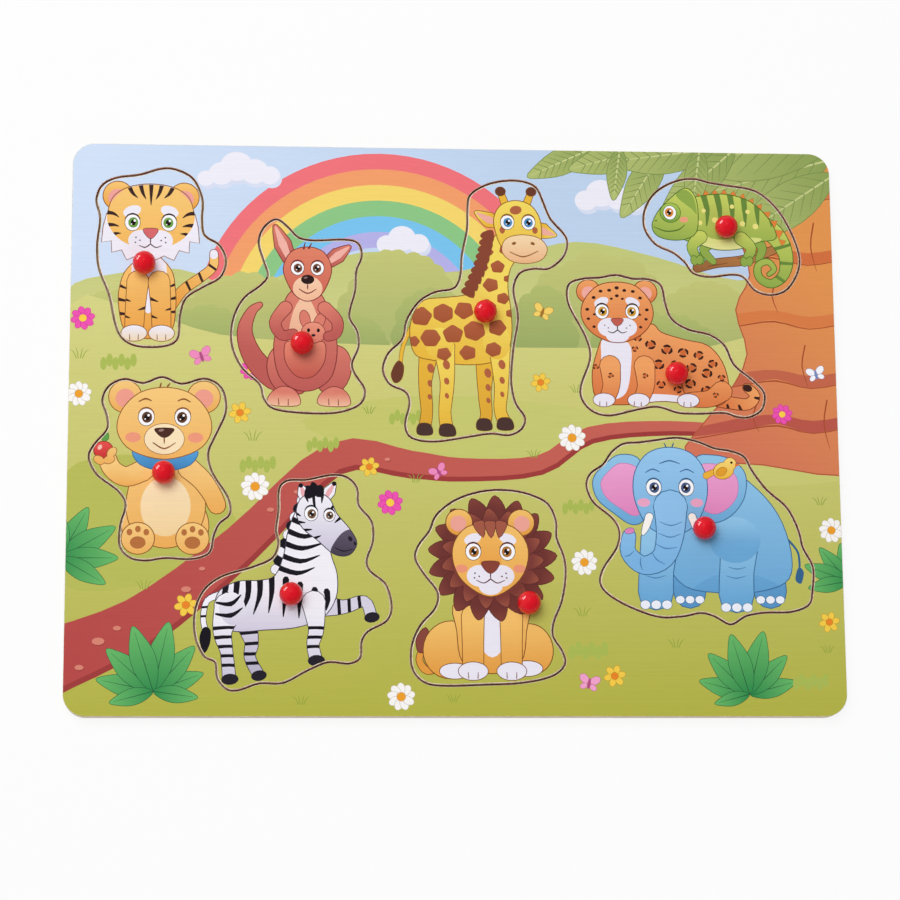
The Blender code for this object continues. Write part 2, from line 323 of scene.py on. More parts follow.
# %% [markdown]
# ## Inks and pictures
# An ink is a hex colour, or a blend: two colours and the points where it starts and ends. A picture
# is a list of shapes from back to front. It has its own middle, from which all x are measured, so a
# symmetric thing is drawn by its right half and the other half is its twin. A shape that is painted
# comes back as an outline, and later shapes can be shown inside it only.

# %% A picture to paint on
def rising(low, high, bottom, top):
    """An ink that runs from one colour at the bottom to another at the top."""
    return low, high, (0, bottom), (0, top)


class Picture(list):
    """Shapes in the order they are painted: (ink, outline, the outlines it shows inside)."""

    def __init__(self, shapes=(), middle=0):
        super().__init__(shapes)
        self.middle, self.rim = middle, None

    def placed(self, points):
        """Points that are measured from the picture's middle, at their places on the board."""
        return [(x + self.middle, y) for x, y in points]

    def fill(self, ink, *shapes, inside=None, twin=False):
        """Paints shapes, and with twin their mirror images too."""
        if not isinstance(ink, str):
            ink = (*ink[:2], *self.placed(ink[2:]))
        outlines = [self.placed(shape) for shape in (*shapes, *(map(mirrored, shapes) if twin else ()))]
        self += [(ink, outline, inside) for outline in outlines]
        return outlines

    def draw(self, ink, *shapes, line=0.35, pen=None, **how):
        """Paints shapes with a line round them, in the picture's rim colour or with another pen."""
        self.fill(pen or self.rim, *[grown(shape, line) for shape in shapes], **how)
        return self.fill(ink, *shapes, **how)

    def lines(self, ink, widths, *paths, **how):
        """Paints thin pen strokes."""
        self.fill(ink, *[stroke(path, widths, tip=2) for path in paths], **how)


print("an ink that rises:", rising("#B8B848", "#D8D784", -112, 46))

# %% [markdown]
# ## A landscape
# The landscape goes from back to front, as a painter would lay it: sky, rainbow and clouds first, then
# hills, meadow and path, then rocks and leaves. A cloud is a row of overlapping rounds, and each band
# of the rainbow is half a ring.

# %% The sky
def sky(art):
    art.fill(("#D4E5F8", "#C2D8EF", (-140, 0), (40, 0)), [(-152, 30), (152, 30), (152, 114), (-152, 114)])
    bow, band = 72, 6.4
    for i, ink in enumerate(("#F4767B", "#F8A26B", "#FADB6E", "#8FCB86", "#7BC8F0", "#B9B6EA")):
        rings = [[around(-30, 38, bow - band * k, a) for a in np.linspace(0, 180, 41)]
            for k in (i, i + 1)]
        art.fill(ink, rings[0] + rings[1][::-1])
    for cloud in ([(-92, 101, 5), (-86, 104, 6.5), (-79, 102, 5.5), (-73, 100.5, 4), (-98, 99, 3.4)],
            [(52, 92, 4.5), (58, 95, 6), (65, 93, 5), (71, 91, 3.6)],
            [(-27, 73, 4), (-21, 75.5, 5.5), (-14.5, 73.5, 4.2)]):
        for ink, right, down in (("#DCE4F4", 0.8, 1.6), ("#F3F2F9", 0, 0)):
            art.fill(ink, *[oval(x + right, y - down, r, r * 0.92, steps=22) for x, y, r in cloud])


landscape = Picture()
sky(landscape)
print("sky:", len(landscape), "shapes")

# %% [markdown]
# ## Hills, meadow and path
# The bushes are domes with a lobed edge, whose lobes differ a little. They are drawn with seeded
# dice, so that they come out the same each time. The meadow is one shape that darkens towards the
# viewer, and the path is a brush stroke that widens as it comes nearer.

# %% Hills and meadow
def bush(x, y, width, height, lobes, seed):
    """A rounded top with leafy lobes, on a flat base."""
    dice = random.Random(seed)
    edge = []
    for i in range(lobes + 1):
        a = math.pi * (1 - i / lobes)
        reach = 1 + dice.uniform(-0.05, 0.05)
        edge.append((x + width / 2 * math.cos(a) * reach, y + height * math.sin(a) ** 0.8 * reach))
    line = []
    for (ax, ay), (bx, by) in zip(edge, edge[1:]):
        line.append((ax, ay))
        for t in (0.2, 0.5, 0.8):
            bulge = math.sin(math.pi * t) * 0.22
            line.append((ax + (bx - ax) * t - (by - ay) * bulge, ay + (by - ay) * t + (bx - ax) * bulge))
    return line + [edge[-1], (x + width / 2, y - 3), (x - width / 2, y - 3)]


def hills(art):
    art.fill(rising("#D5D58A", "#C6CE7C", 34, 72), spline([(-152, 52), (-132, 60), (-108, 62), (-84, 55),
        (-58, 64), (-30, 70), (-4, 62), (20, 68), (48, 75), (80, 69), (112, 60), (152, 64), (152, 20),
        (-152, 20)]))
    far, near = ("#B3BD72", "#C8CB78"), ("#9DAF66", "#B6C170")
    for seed, (greens, x, y, width, height, lobes) in enumerate(((far, -78, 34, 62, 26, 15),
            (far, -22, 36, 48, 34, 13), (far, 56, 34, 58, 36, 15), (far, 98, 34, 46, 24, 12),
            (far, -132, 40, 34, 12, 9), (near, -98, 30, 34, 17, 10), (near, -46, 30, 40, 15, 12),
            (near, 12, 30, 44, 18, 12), (near, 78, 30, 52, 16, 13), (near, 34, 31, 26, 25, 8),
            (near, -10, 31, 28, 24, 9)), start=1):
        art.fill(rising(*greens, y, y + height), bush(x, y, width, height, lobes, seed))


def meadow(art):
    art.fill(rising("#B8B848", "#D8D784", -112, 46), spline([(-152, 46), (-120, 44), (-92, 36), (-50, 33),
        (0, 32), (50, 32), (100, 33), (152, 38), (152, -60), (152, -114), (0, -114), (-152, -114),
        (-152, -30)], steps=3))
    art.fill(("#C9CB6C", "#CFD077", (-60, -20), (90, 20)), spline([(-60, 2), (-20, 12), (40, 9),
        (110, -4), (152, -4), (152, -20), (90, -22), (20, -14), (-30, -10)]))
    art.fill("#BCC05A", spline([(-152, -20), (-120, -12), (-96, -24), (-84, -44), (-110, -60),
        (-152, -62)]))


def track(art):
    """A winding earth track, wide in front and narrow where it reaches the rocks."""
    middle = [(-158, -92), (-122, -76), (-84, -46), (-48, -12), (-18, -14), (2, -16), (32, -14), (52, -2),
        (84, 1), (118, -1)]
    art.fill("#A23D3B", stroke(moved(middle, 0.6, -1.6), [25, 19, 15, 12, 10, 8, 6.4, 5.4, 4.4, 3.6]))
    art.fill(("#B94B48", "#CF6A5A", (-150, -90), (118, 0)),
        stroke(middle, [24, 18, 14, 11, 9, 7.4, 6, 5, 4, 3.4]))
    for x, y, r in ((-137, -84, 2.4), (-130, -79, 1.5), (-104, -64, 1.9), (-98, -56, 1.2),
            (-72, -33, 1.4), (-27, -13, 1.1), (-62, -26, 1.2), (-144, -94, 1.7)):
        art.fill("#9B3A38", oval(x + 0.2, y - 0.3, r, r * 0.6, steps=12))
        art.fill("#DD8773", oval(x, y, r, r * 0.6, steps=12))


for layer in (hills, meadow, track):
    layer(landscape)
print("with hills, meadow and path:", len(landscape), "shapes")

# %% [markdown]
# ## Rocks and leaves
# The right side is closed by a stack of warm sandstone in layers, with leaves that hang over it from
# above. A leaf is an outline that is wide in its middle, with a midrib and side ribs as thin strokes.

# %% Rocks and hanging leaves
def leaf(x, y, length, width, turn):
    """A pointed leaf that grows from (x, y)."""
    half = [(0, 0), (0.25, 0.42), (0.55, 0.5), (0.85, 0.25), (1, 0)]
    shape = [(u * length, v * width) for u, v in half + [(u, -v) for u, v in half[3:0:-1]]]
    return moved(spline(shape, steps=3), x, y, turn)


def rocks(art):
    """A stack of warm sandstone at the right, in layers."""
    stack = [(160, 112), (129, 114), (122, 102), (121, 88), (114, 78), (117, 62), (111, 48), (115, 30),
        (107, 14), (97, 2), (90, -11), (120, -14), (150, -18), (166, -10), (166, 60)]
    body = art.draw(("#D9785A", "#E99A52", (95, 0), (150, 60)), spline(stack, steps=3), line=0.5,
        pen="#B95A3C")
    for y, ink in ((96, "#DE7E44"), (70, "#D87441"), (44, "#DF8148"), (20, "#C96A4C"), (2, "#BF5A4B")):
        line = [(90, y - 4), (112, y), (126, y + 2), (140, y - 1), (156, y + 2)]
        art.fill(ink, stroke(line, [3, 5, 3.6, 5, 4], steps=3), inside=body)
        art.fill("#A9502F", stroke(moved(line, 0, -2.6), [0.5, 0.4, 0.6, 0.3, 0.5], steps=3), inside=body)
    for x, y, run in ((131, 108, -14), (143, 84, -20), (127, 60, -13), (138, 34, -17), (118, 10, -11),
            (146, 12, -20)):
        crack = stroke([(x, y), (x - 1.5, y + run / 2), (x + 0.6, y + run)], [0.6, 0.5, 0.15], steps=3)
        art.fill("#A9502F", crack, inside=body)


def palm_leaves(art):
    """Big leaves that hang into the picture from its top right corner."""
    for x, y, length, turn in ((150, 110, 62, 196), (152, 104, 50, 214), (148, 114, 66, 183),
            (112, 114, 40, 222), (84, 114, 34, 238), (56, 114, 30, 205), (78, 114, 34, 196),
            (104, 114, 44, 188), (66, 114, 22, 262), (98, 114, 26, 262)):
        root, tip = (x, y), around(x, y, length * 0.94, turn)
        blade = art.draw(("#8FA457", "#B7C474", root, tip), leaf(x, y, length, length * 0.34, turn),
            line=0.3, pen="#7C9150")
        art.fill("#CBD48C", stroke([root, between(root, tip), tip], [0.8, 0.6, 0.2], steps=1, tip=2))
        for k in range(1, 9):
            start = between(root, tip, k / 9.5)
            ribs = [stroke([start, around(*start, length * 0.2, turn + lean)], [0.4, 0.15], steps=1,
                tip=1) for lean in (-42.97, 42.97)]
            art.fill("#7F9452", *ribs, inside=blade)


for layer in (rocks, palm_leaves):
    layer(landscape)
print("with rocks and leaves:", len(landscape), "shapes")

# %% [markdown]
# ## Small plants
# Flowers, tufts, ferns and butterflies fill the meadow. Each kind is drawn once round its own middle
# and put down many times, in other sizes, turns and colours.

# %% Flowers, tufts and butterflies
def flower(art, x, y, size, petals, petal, middle, pen):
    """A round flower, its petals one under the other."""
    for i in range(petals):
        turn = 360 / petals * i + 12
        blade = oval(*around(x, y, size * 0.6, turn), size * 0.46, size * 0.3, turn, 14)
        art.draw(petal, blade, line=0.16, pen=pen)
    art.draw(middle, oval(x, y, size * 0.34, steps=14), line=0.16, pen=pen)


def butterfly(art, x, y, size, wing, dark, turn):
    """Four wings and a thin body between them."""
    for side in (-1, 1):
        for far, spread, big in ((0.62, 38, 0.6), (0.5, -32, 0.42)):
            a = 90 - side * (90 - spread) + turn
            shape = oval(*around(x, y, size * far, a), size * big * 0.78, size * big * 0.55, a, 14)
            art.draw(wing, shape, line=0.14, pen=dark)
    art.fill(dark, oval(x, y, size * 0.14, size * 0.5, turn, 10))


def tuft(art, x, y, size, ink):
    """Four blades of grass."""
    for lean in (-0.9, -0.35, 0.3, 0.85):
        blade = [(x + lean * size * 0.3, y), (x + lean * size * 0.62, y + size * 0.6),
            (x + size * lean, y + size * (1.1 - abs(lean) * 0.35))]
        art.fill(ink, stroke(blade, [0.34, 0.3, 0.08], steps=2, tip=2))


def fern(art, x, y, leaves):
    """A rosette of pointed leaves, each with its midrib."""
    for length, turn in leaves:
        root, tip = (x, y), around(x, y, 0.9 * length, turn)
        blade = leaf(x, y, length, length * 0.36, turn)
        art.draw(("#2F8E4C", "#68BA68", root, tip), blade, line=0.2, pen="#285C3A")
        art.fill("#285C3A", stroke([root, between(root, tip), tip], [0.3, 0.25, 0.1], steps=1, tip=2))


def ground_plants(art):
    fern(art, -116, -103, [(22, 168), (20, 20), (24, 138), (23, 48), (27, 78), (26, 108), (17, 195),
        (17, -8)])
    fern(art, 112, -104, [(20, 165), (19, 15), (22, 135), (21, 45), (25, 76), (24, 106), (14, 195)])
    fern(art, -152, -52, [(22, 62), (24, 30), (22, 0), (20, -30), (17, 88)])
    fern(art, 152, -60, [(15, 100), (17, 130), (18, 160), (16, 190)])
    for x, y, size in ((-146, 26, 5.4), (-79, -6, 5.6), (-16, -22, 4.6), (47, 14, 4.4), (-120, -64, 5),
            (48, -74, 5.2), (-2, -107, 4.6), (142, -30, 4.4), (84, -86, 5), (-60, -108, 4.8),
            (143, -88, 4.4), (-34, 5, 4.2), (30, -12, 4.4)):
        tuft(art, x, y, size * 0.8, "#93A83F")
    for x, y, size in ((-131, 24, 1), (-77, -16, 1), (-20, 3, 0.9), (50, -88, 1.1), (136, -100, 1),
            (-52, -8, 0.9), (47, -32, 0.9)):
        art.fill("#AFBF57", *[oval(x + (i - 2.5) * 2.3 * size, y + 1.4 * (i % 2), 1.3 * size, 2.6 * size,
            steps=12) for i in range(6)])


def flowers(art):
    pink, white, yellow = (("#F255B2", "#FFD44A", "#C9308B"), ("#FFFDF6", "#F4A42C", "#C9BFA2"),
        ("#FBD24B", "#F08A2A", "#C08F26"))
    for petals, inks, places in ((8, pink, ((-145, 42, 4.4), (-26, -30, 4.6), (-80, 22, 3.8),
            (128, 6, 3.8))), (9, white, ((-78, -24, 5.2), (45, -4, 5), (-22, -105, 5), (146, -40, 4.6),
            (49, -53, 4.8), (-146, 12, 4.6))), (6, yellow, ((-84, 5, 4), (-34, -16, 3.6),
            (-104, -70, 4.2), (60, -97, 4), (144, -76, 3.8), (33, 18, 3.6)))):
        for place in places:
            flower(art, *place, petals, *inks)
    butterfly(art, -99, 27, 4.6, "#F58FC0", "#B84E86", 18)
    butterfly(art, 34, 46, 4.2, "#FBD768", "#A8742A", -20)
    butterfly(art, -7, -18, 3.8, "#F58FC0", "#B84E86", 30)
    butterfly(art, 50, -100, 4.4, "#F9A8CE", "#B84E86", -12)
    butterfly(art, 142, 22, 4, "#FFFFFF", "#7C8FC0", 14)


for layer in (ground_plants, flowers):
    layer(landscape)
print("the whole landscape:", len(landscape), "shapes,", sum(len(shape) for _, shape, _ in landscape),
    "corners")

# %% [markdown]
# ## Drawing the animals
# The nine animals share one style: a soft blend for the coat, a darker line round each shape, round
# eyes with two glints, and stripes or spots that are clipped to the body. What lies behind is drawn
# first. Each animal is a function that paints round its own middle, over a copy of the landscape.

# %% Eyes, ears, mouths and legs
DARK = "#3A2420"


def eye(art, x, y, r, iris, look, lid=None, rim=DARK):
    """A round eye with an iris, a pupil and two glints, which looks a little aside."""
    art.draw("#FFFFFF", oval(x, y, r, r * 1.12, steps=22), line=0.22, pen=rim)
    ix, iy = x + look[0] * r * 0.3, y + look[1] * r * 0.3
    art.draw(iris, oval(ix, iy, r * 0.64, r * 0.7, steps=18), line=0.08, pen=rim)
    art.fill("#1C1210", oval(ix, iy, r * 0.36, r * 0.42, steps=16))
    art.fill("#FFFFFF", oval(ix + r * 0.2, iy + r * 0.26, r * 0.17, steps=10),
        oval(ix - r * 0.22, iy - r * 0.24, r * 0.1, steps=8))
    if lid:
        arc = [around(x, y, r * 1.1, a, 1.22 / 1.1) for a in (158, 125, 90, 55, 22)]
        art.fill(lid, stroke(arc, [0.25, 0.6, 0.75, 0.6, 0.25], steps=2, tip=2))


def eyes(art, x, y, r, iris, look, lid):
    """A pair of eyes that look inwards."""
    for side in (-1, 1):
        eye(art, side * x, y, r, iris, (-side * look[0], look[1]), lid)


def pointed_ear(art, ink, pink, line, widths, inner, rim=0.3):
    """An ear that tapers to its tip along a line, with a pink inside."""
    art.draw(ink, stroke(line, widths), line=rim)
    art.fill(pink, stroke(line, inner, tip=3))


def cat_mouth(art, ink, pen, nose, mouth, widths, dot, dots, rim=0.2):
    """A nose, a mouth and whisker dots, each given by its right half."""
    art.draw(ink, spline(whole(nose)), line=rim, pen=pen)
    art.lines(pen, widths, mouth[:2], mouth[1:], twin=True)
    art.fill(pen, *[oval(x, y, dot, steps=8) for x, y in dots], twin=True)


def leg(art, ink, line, widths, horn, hoof):
    """A long leg with a hoof, which is drawn round the leg's lower end."""
    shape = art.draw(ink, stroke(line, widths), line=0.3)
    art.draw(horn, moved(hoof, *line[-1]), line=0.15)
    return shape


PICTURES = {}


def draw_animal(animal, middle):
    """Paints an animal over the landscape, round its middle."""
    art = Picture(landscape, middle)
    animal(art)
    PICTURES[animal.__name__] = art
    print(animal.__name__, "takes", len(art) - len(landscape), "shapes")


trial = Picture()
eye(trial, 0, 0, 3, "#6FA648", (0, 0))
print("an eye without its lid takes", len(trial), "shapes")

# %% The tiger, sitting
def tiger(art):
    gold, deep, art.rim, cream = "#FBCB74", "#EE9F3E", "#8F5526", "#F4F1F8"
    fur = partial(rising, deep, gold)
    coat = fur(33, 66)
    # tail, haunches and body
    tail = art.draw((deep, gold, (11.3, 46), (25.3, 68)), stroke([(6.3, 44), (12.3, 53), (19.3, 58.5),
        (24.3, 63), (24.7, 68.5)], [4.2, 3.8, 3.6, 3.4, 3]), line=0.3)
    art.fill(cream, oval(24.5, 68.8, 2, 2.6, 10, 16), inside=tail)
    art.lines(DARK, [1.1, 0.9], [(13.7, 57.6), (16.3, 52.2)], [(18.7, 61), (20.9, 55.8)],
        [(22.3, 64.2), (26.3, 61.4)], inside=tail)
    body = art.draw(coat, spline([(-8.7, 62), (-11.7, 54), (-11.7, 46), (-9.7, 38), (-4.7, 34.6),
        (4.3, 34.6), (8.7, 38), (9.9, 46), (9.7, 54), (7.8, 62), (0.3, 68)]))
    art.fill(cream, spline([(-5.7, 66), (-7.1, 59), (-4.3, 50), (-0.5, 44), (3.3, 50), (6.3, 59),
        (4.7, 66)]), inside=body)
    art.lines(DARK, [1.9, 0.3], [(-13.7, 56), (-8.2, 53.6)], [(-13.7, 50), (-7.1, 48.6)],
        [(-12.7, 44), (-7.5, 43.6)], [(12.3, 57), (6.7, 54.4)], [(12.3, 51), (5.9, 49.4)],
        [(12.3, 45), (6.7, 44.6)], inside=body)
    # front legs and paws
    for x, lean in ((-5.9, 1), (4.7, -1)):
        front_leg = art.draw(coat, stroke([(x + lean * 1.2, 57), (x + lean * 0.4, 47), (x, 38)],
            [8.2, 7.4, 7]), line=0.3)
        art.lines(DARK, [1.5, 0.3], [(x - 4.6, 50), (x - 1.4, 48.8)], [(x + 4.6, 46.4), (x + 1.4, 45.4)],
            [(x - 4.6, 43.2), (x - 1.6, 42.2)], inside=front_leg)
        art.draw(rising("#F3DCB4", cream, 33, 39), oval(x, 36.2, 4.9, 3.1), line=0.3)
        art.lines(art.rim, [0.4, 0.25], [(x - 1.6, 33.6), (x - 1.7, 35.8)],
            [(x + 1.6, 33.6), (x + 1.7, 35.8)])
    # ears
    for x, y in ((-12.9, 91.4), (12.9, 91)):
        art.draw(fur(y - 6, y + 6), oval(x, y, 5.7))
        art.fill("#F3A59A", oval(x * 1.02, y - 0.8, 3.5))
        art.fill("#FFF1DC", oval(x * 0.91, y - 2.6, 2.2, 2.6))
    # head, with its ruff
    ruff = [(9.3, 88), (17.1, 84), (18.3, 79), (18.9, 72.6), (15.1, 73.2), (14.9, 68.6), (11.1, 69.6),
        (9.1, 65.6), (5.3, 67.4), (0, 64.6)]
    art.draw(cream, whole(ruff))
    head = art.fill(rising("#F9BC5C", gold, 68, 92), spline(
        whole([(0, 70), (6.7, 71), (13.1, 74.6), (16.9, 81), (15.9, 88), (9.7, 94.2), (0, 96)])))
    art.lines(art.rim, [0.3, 0.4, 0.3], [(-17, 84), (-14.7, 91), (-8.7, 95), (0, 96.3), (8.7, 95),
        (14.7, 91), (17, 84)])
    art.fill(cream, oval(7.3, 85.2, 3.6, 2.2, -20), inside=head, twin=True)
    art.lines(DARK, [1.9, 1.3, 0.2], [(0, 97), (0, 92.6), (0, 87.6)],
        [(4.3, 96.6), (3.3, 92.8), (1.9, 90)], [(8.7, 95.4), (7.1, 92.4), (5.1, 90.6)],
        [(18.1, 84.6), (14.7, 84.2), (12.3, 82.6)], [(18.1, 79.4), (14.7, 79.6), (12.3, 79)],
        [(16.1, 74.6), (13.7, 76), (11.5, 76.2)], inside=head, twin=True)
    eyes(art, 7.1, 80.6, 2.9, "#6FA648", (0.3, 0), DARK)
    art.fill(cream, oval(3.7, 73.4, 5, 4.2), oval(0, 69.6, 4.4, 3), twin=True)
    nose, mouth = [(2.7, 78), (1.7, 75.4), (0, 74.2)], [(0, 74.4), (0, 72), (2.1, 70.6), (4.5, 71.4)]
    cat_mouth(art, "#D9696A", DARK, nose, mouth, [0.45, 0.45, 0.25], 0.32,
        [(5.7, 74.6), (4.1, 73.4), (5.9, 72.6)])


draw_animal(tiger, -119.3)

# %% The kangaroo, with a young one in its pouch
def kangaroo(art):
    coat, deep, art.rim, belly = "#DF806D", "#BF5D56", "#7C2F2B", "#F9C9A4"
    fur = partial(rising, deep, coat)
    art.draw((deep, coat, (-26, 30), (-20, 52)), stroke([(-4, 17), (-13, 19), (-21, 27), (-24.4, 37),
        (-22, 45), (-18.6, 48)], [9, 9, 7.6, 5.6, 3.6, 2]))
    # haunches and long feet
    for x, side in ((-9, -1), (10.4, 1)):
        art.draw(fur(12, 34), oval(x - side * 0.4, 22.2, 6.8, 9.8, -12 * side))
        art.draw(rising(belly, coat, 7, 13), spline([(x - 5.6, 8.4), (x - 5.4, 12.4), (x - 1, 15.4),
            (x + 3.4, 14.4), (x + 6, 11), (x + 5, 8)]), line=0.3)
        art.lines(art.rim, [0.4, 0.25], [(x - 2, 8.2), (x - 2.2, 10.8)], [(x + 1.6, 8), (x + 1.6, 10.6)])
    body = art.draw(fur(14, 50), spline([(-1, 56), (-7.6, 52), (-10.4, 43), (-13, 32), (-11, 20),
        (-5, 14.6), (2.6, 14.4), (9.4, 20), (11.4, 32), (8.6, 43), (5.4, 52)]))
    art.fill(rising("#F2B48E", belly, 20, 50), spline([(-1, 52), (-5.4, 46), (-7.4, 36), (-7, 25),
        (-1, 18.6), (5, 25), (5.4, 36), (3, 46)]), inside=body)
    # pouch with a small one in it
    art.draw(coat, oval(4.6, 41.6, 1.9, 3.4, -25), oval(-1, 42.4, 1.9, 3.6, 12), line=0.25)
    art.draw(rising(coat, "#EE9C80", 33, 42), oval(2.2, 37, 4.6, 4.2), line=0.25)
    art.fill("#1C1210", oval(0.4, 38, 0.62, 0.8, steps=10), oval(4.2, 38, 0.62, 0.8, steps=10),
        oval(2.3, 36, 0.8, 0.55, steps=10))
    art.draw(rising("#C65D50", "#E58B71", 20, 33), spline([(-8, 33.4), (-1, 31.4), (6.2, 33.4), (6.6, 26),
        (3, 20.4), (-1, 19), (-5, 20.4), (-8.6, 26)]), line=0.3)
    # arms
    for points in ([(-8.6, 47), (-12.6, 41), (-10, 36), (-5.6, 36.6)],
            [(6.6, 47), (11.4, 42), (11.2, 37), (8, 35.6)]):
        art.draw((deep, coat, points[2], points[0]), stroke(points, [5, 4.4, 3.8, 3.6]), line=0.3)
    # ears, head and face
    for root, tip, w in (((-7, 66), (-12.6, 79.4), 6.6), ((7.6, 65), (16, 71.6), 6)):
        pointed_ear(art, (deep, coat, root, tip), "#F6B7A6", [root, between(root, tip), tip],
            [w * 0.7, w, w * 0.3], [w * 0.25, w * 0.5, w * 0.1], 0.35)
    head = art.draw(rising("#CF6454", "#E58768", 50, 72), spline([(0, 71.4), (-6.4, 69.4), (-9.4, 63),
        (-7.6, 56.6), (-4.4, 51.8), (0, 49.8), (4.6, 51.8), (7.6, 56.6), (9.2, 63), (6.2, 69.4)]))
    art.fill(rising("#F7BE97", "#FBD3B0", 50, 60), oval(0, 54.8, 5.8, 5), inside=head)
    art.fill("#2A1715", oval(0, 58.4, 2.6, 1.9))
    art.fill("#8A6A66", oval(-0.8, 59.1, 0.8, 0.4, 15, 10))
    art.lines(art.rim, [0.4, 0.5, 0.3], [(0, 56.4), (0, 54.4)], [(-3.4, 54.6), (0, 52.8), (3.4, 54.6)])
    eye(art, -4, 63, 2.5, "#7A4630", (0.25, -0.1), art.rim)
    eye(art, 3.8, 63, 2.5, "#7A4630", (-0.25, -0.1), art.rim)
    art.lines(art.rim, [0.8, 0.3], [(-1.6, 70.8), (-1, 73.4)], [(0.4, 71), (1.6, 73.2)])


draw_animal(kangaroo, -58)

# %% The giraffe, standing
def giraffe(art):
    coat, deep, art.rim, patch = "#F8DE62", "#EDBB3C", "#8E5A22", "#B4633F"
    fur = partial(rising, deep, coat)
    back_legs = [[(-10.6, 30), (-12.2, 18), (-11.6, 6), (-12.6, -0.6)],
        [(11.4, 28), (11, 14), (11.6, 5), (10.6, 1.4)]]
    front_legs = [[(-4.8, 32), (-3.6, 18), (-4.6, 6), (-3.8, -0.8)],
        [(17, 32), (17.6, 17), (17, 7), (18.8, 1.8)]]
    legs = []
    back_hoof = spline([(-2.6, -2.4), (-2.2, 1.6), (2.2, 1.6), (3, -2.4)])
    front_hoof = spline([(-2.7, -2.6), (-2.3, 1.6), (2.3, 1.6), (3.2, -2.6)])
    for line in back_legs:
        legs += leg(art, rising("#E2A935", deep, 0, 30), line, [7.6, 4.8, 4.2, 4.6], "#4A332E", back_hoof)
    # tail
    art.draw(deep, stroke([(-15.6, 43), (-18.8, 37), (-21, 31), (-21.8, 25)], [1.6, 1.4, 1.3, 1.2]),
        line=0.2)
    art.draw("#6B3B28", spline([(-22.8, 26), (-25.4, 21), (-24, 17.4), (-21.4, 19), (-20.6, 24)]),
        line=0.2)
    body = art.draw((deep, coat, (-5, 24), (5, 58)), spline([(-16, 46), (-18, 38), (-16, 29), (-9, 26.6),
        (2, 25), (12, 25.6), (19, 28.6), (21.6, 36), (21.6, 46), (20.4, 56), (21.6, 64), (26, 72),
        (17.6, 78), (12, 70), (9, 60), (5.4, 53.4), (-4, 51.6), (-12, 50.6)]))
    for line in front_legs:
        legs += leg(art, fur(0, 30), line, [8.4, 5.2, 4.4, 4.8], "#4A332E", front_hoof)
    art.fill(fur(24, 40), oval(-6.4, 33, 5.6, 6.6), oval(16, 34, 5.4, 7), inside=body + legs)
    # patches: (x, y, size, number of corners, turn)
    for x, y, size, corners, turn in ((-13.6, 44, 4.6, 5, 10), (-5, 45.4, 4.4, 6, 30),
            (3.2, 46.6, 4.2, 5, 50), (-10, 35.4, 4.2, 6, 0), (-1.2, 37, 4.4, 5, 20),
            (7.2, 38.4, 4.6, 6, 40), (12, 47.6, 4.4, 5, 15), (16.2, 39.8, 3.9, 5, 70),
            (-16.6, 34, 2.6, 5, 0), (4.6, 29.6, 3.6, 5, 35), (-4.8, 29, 3.2, 5, 65),
            (14.6, 31, 3.4, 6, 20), (13.8, 57, 3.4, 5, 40), (18.6, 51.6, 2.8, 5, 0),
            (16.6, 64.4, 3.1, 5, 15), (21.4, 45.6, 2, 5, 0), (19.6, 71.4, 2.6, 5, 60),
            (11.4, 64, 1.7, 5, 0), (20.4, 59.6, 1.7, 5, 0), (13.6, 70.4, 1.6, 5, 0)):
        edge = [around(x, y, size, turn + 360 / corners * k, 0.92) for k in range(corners + 1)]
        chip = [between(a, b, share) for a, b in zip(edge, edge[1:]) for share in (0.12, 0.5, 0.88)]
        art.fill(rising("#A4552F", patch, y - size, y + size), chip, inside=body)
    for line in front_legs + back_legs:
        for share, size in ((0.28, 2), (0.532, 1.5), (0.756, 1.2)):
            x, y = between(line[0], line[2], share)
            art.fill(patch, oval(x + 0.9, y, size * 0.7, size, 15, 9), inside=legs)
    # mane
    for i in range(9):
        t = i / 8
        x, y = 4.6 + 7.6 * t + math.sin(t * 3) * 1.2, 53.6 + 22.6 * t
        art.fill("#8A4630", spline([(x + 2.4, y - 2), (x - 2.4, y + 0.2), (x - 1.2, y + 2.4),
            (x + 2.6, y + 3)], steps=3))
    # head, seen from the front, a little tilted
    for root, middle, tip in (((18, 82), (13.2, 83.6), (8.4, 86.4)),
            ((30, 82), (34.7, 79.2), (39.4, 77.6))):
        pointed_ear(art, (deep, coat, middle, tip), "#F2B0A0", [root, middle, tip], [3, 6.2, 1.4],
            [1, 3, 0.5])
    for root, tip in (((20.6, 88), (18, 95)), ((27.6, 88.4), (30.2, 95))):
        art.draw(deep, stroke([root, tip], [3, 2.2]), line=0.3)
        art.draw("#6B3B28", oval(tip[0], tip[1] + 0.2, 2, 1.8, steps=16), line=0.2)
    head = art.draw((deep, coat, (25, 66), (24, 90)), spline([(24, 91.4), (18.2, 89.4), (15.4, 84),
        (16.4, 77.4), (18.8, 72.4), (25, 69), (32.6, 71), (34, 77), (33.4, 84), (30, 89.4)]))
    art.fill(patch, oval(24, 87.6, 2.4, 1.8, 10, 12), oval(18.6, 79.4, 1.1, 1.5, 0, 10),
        oval(31.6, 79.4, 1.1, 1.4, 0, 10), inside=head)
    art.draw(rising("#F0B987", "#FBDDAE", 66, 77), spline([(25.6, 77.4), (19.8, 75.4), (18.6, 70.6),
        (22, 67), (28, 66), (34, 67.6), (36.2, 72), (33, 76.2)]), line=0.3)
    art.fill(art.rim, oval(23.2, 74, 0.9, 0.6, 20, 10), oval(30.6, 74, 0.9, 0.6, -20, 10))
    art.lines(art.rim, [0.3, 0.5, 0.3], [(21.4, 70.6), (26.8, 68.6), (32.8, 71)])
    eye(art, 20.6, 82.6, 2.6, "#4C8FC4", (0.3, -0.1), art.rim)
    eye(art, 29, 82.6, 2.6, "#4C8FC4", (0, -0.1), art.rim)


draw_animal(giraffe, 0)

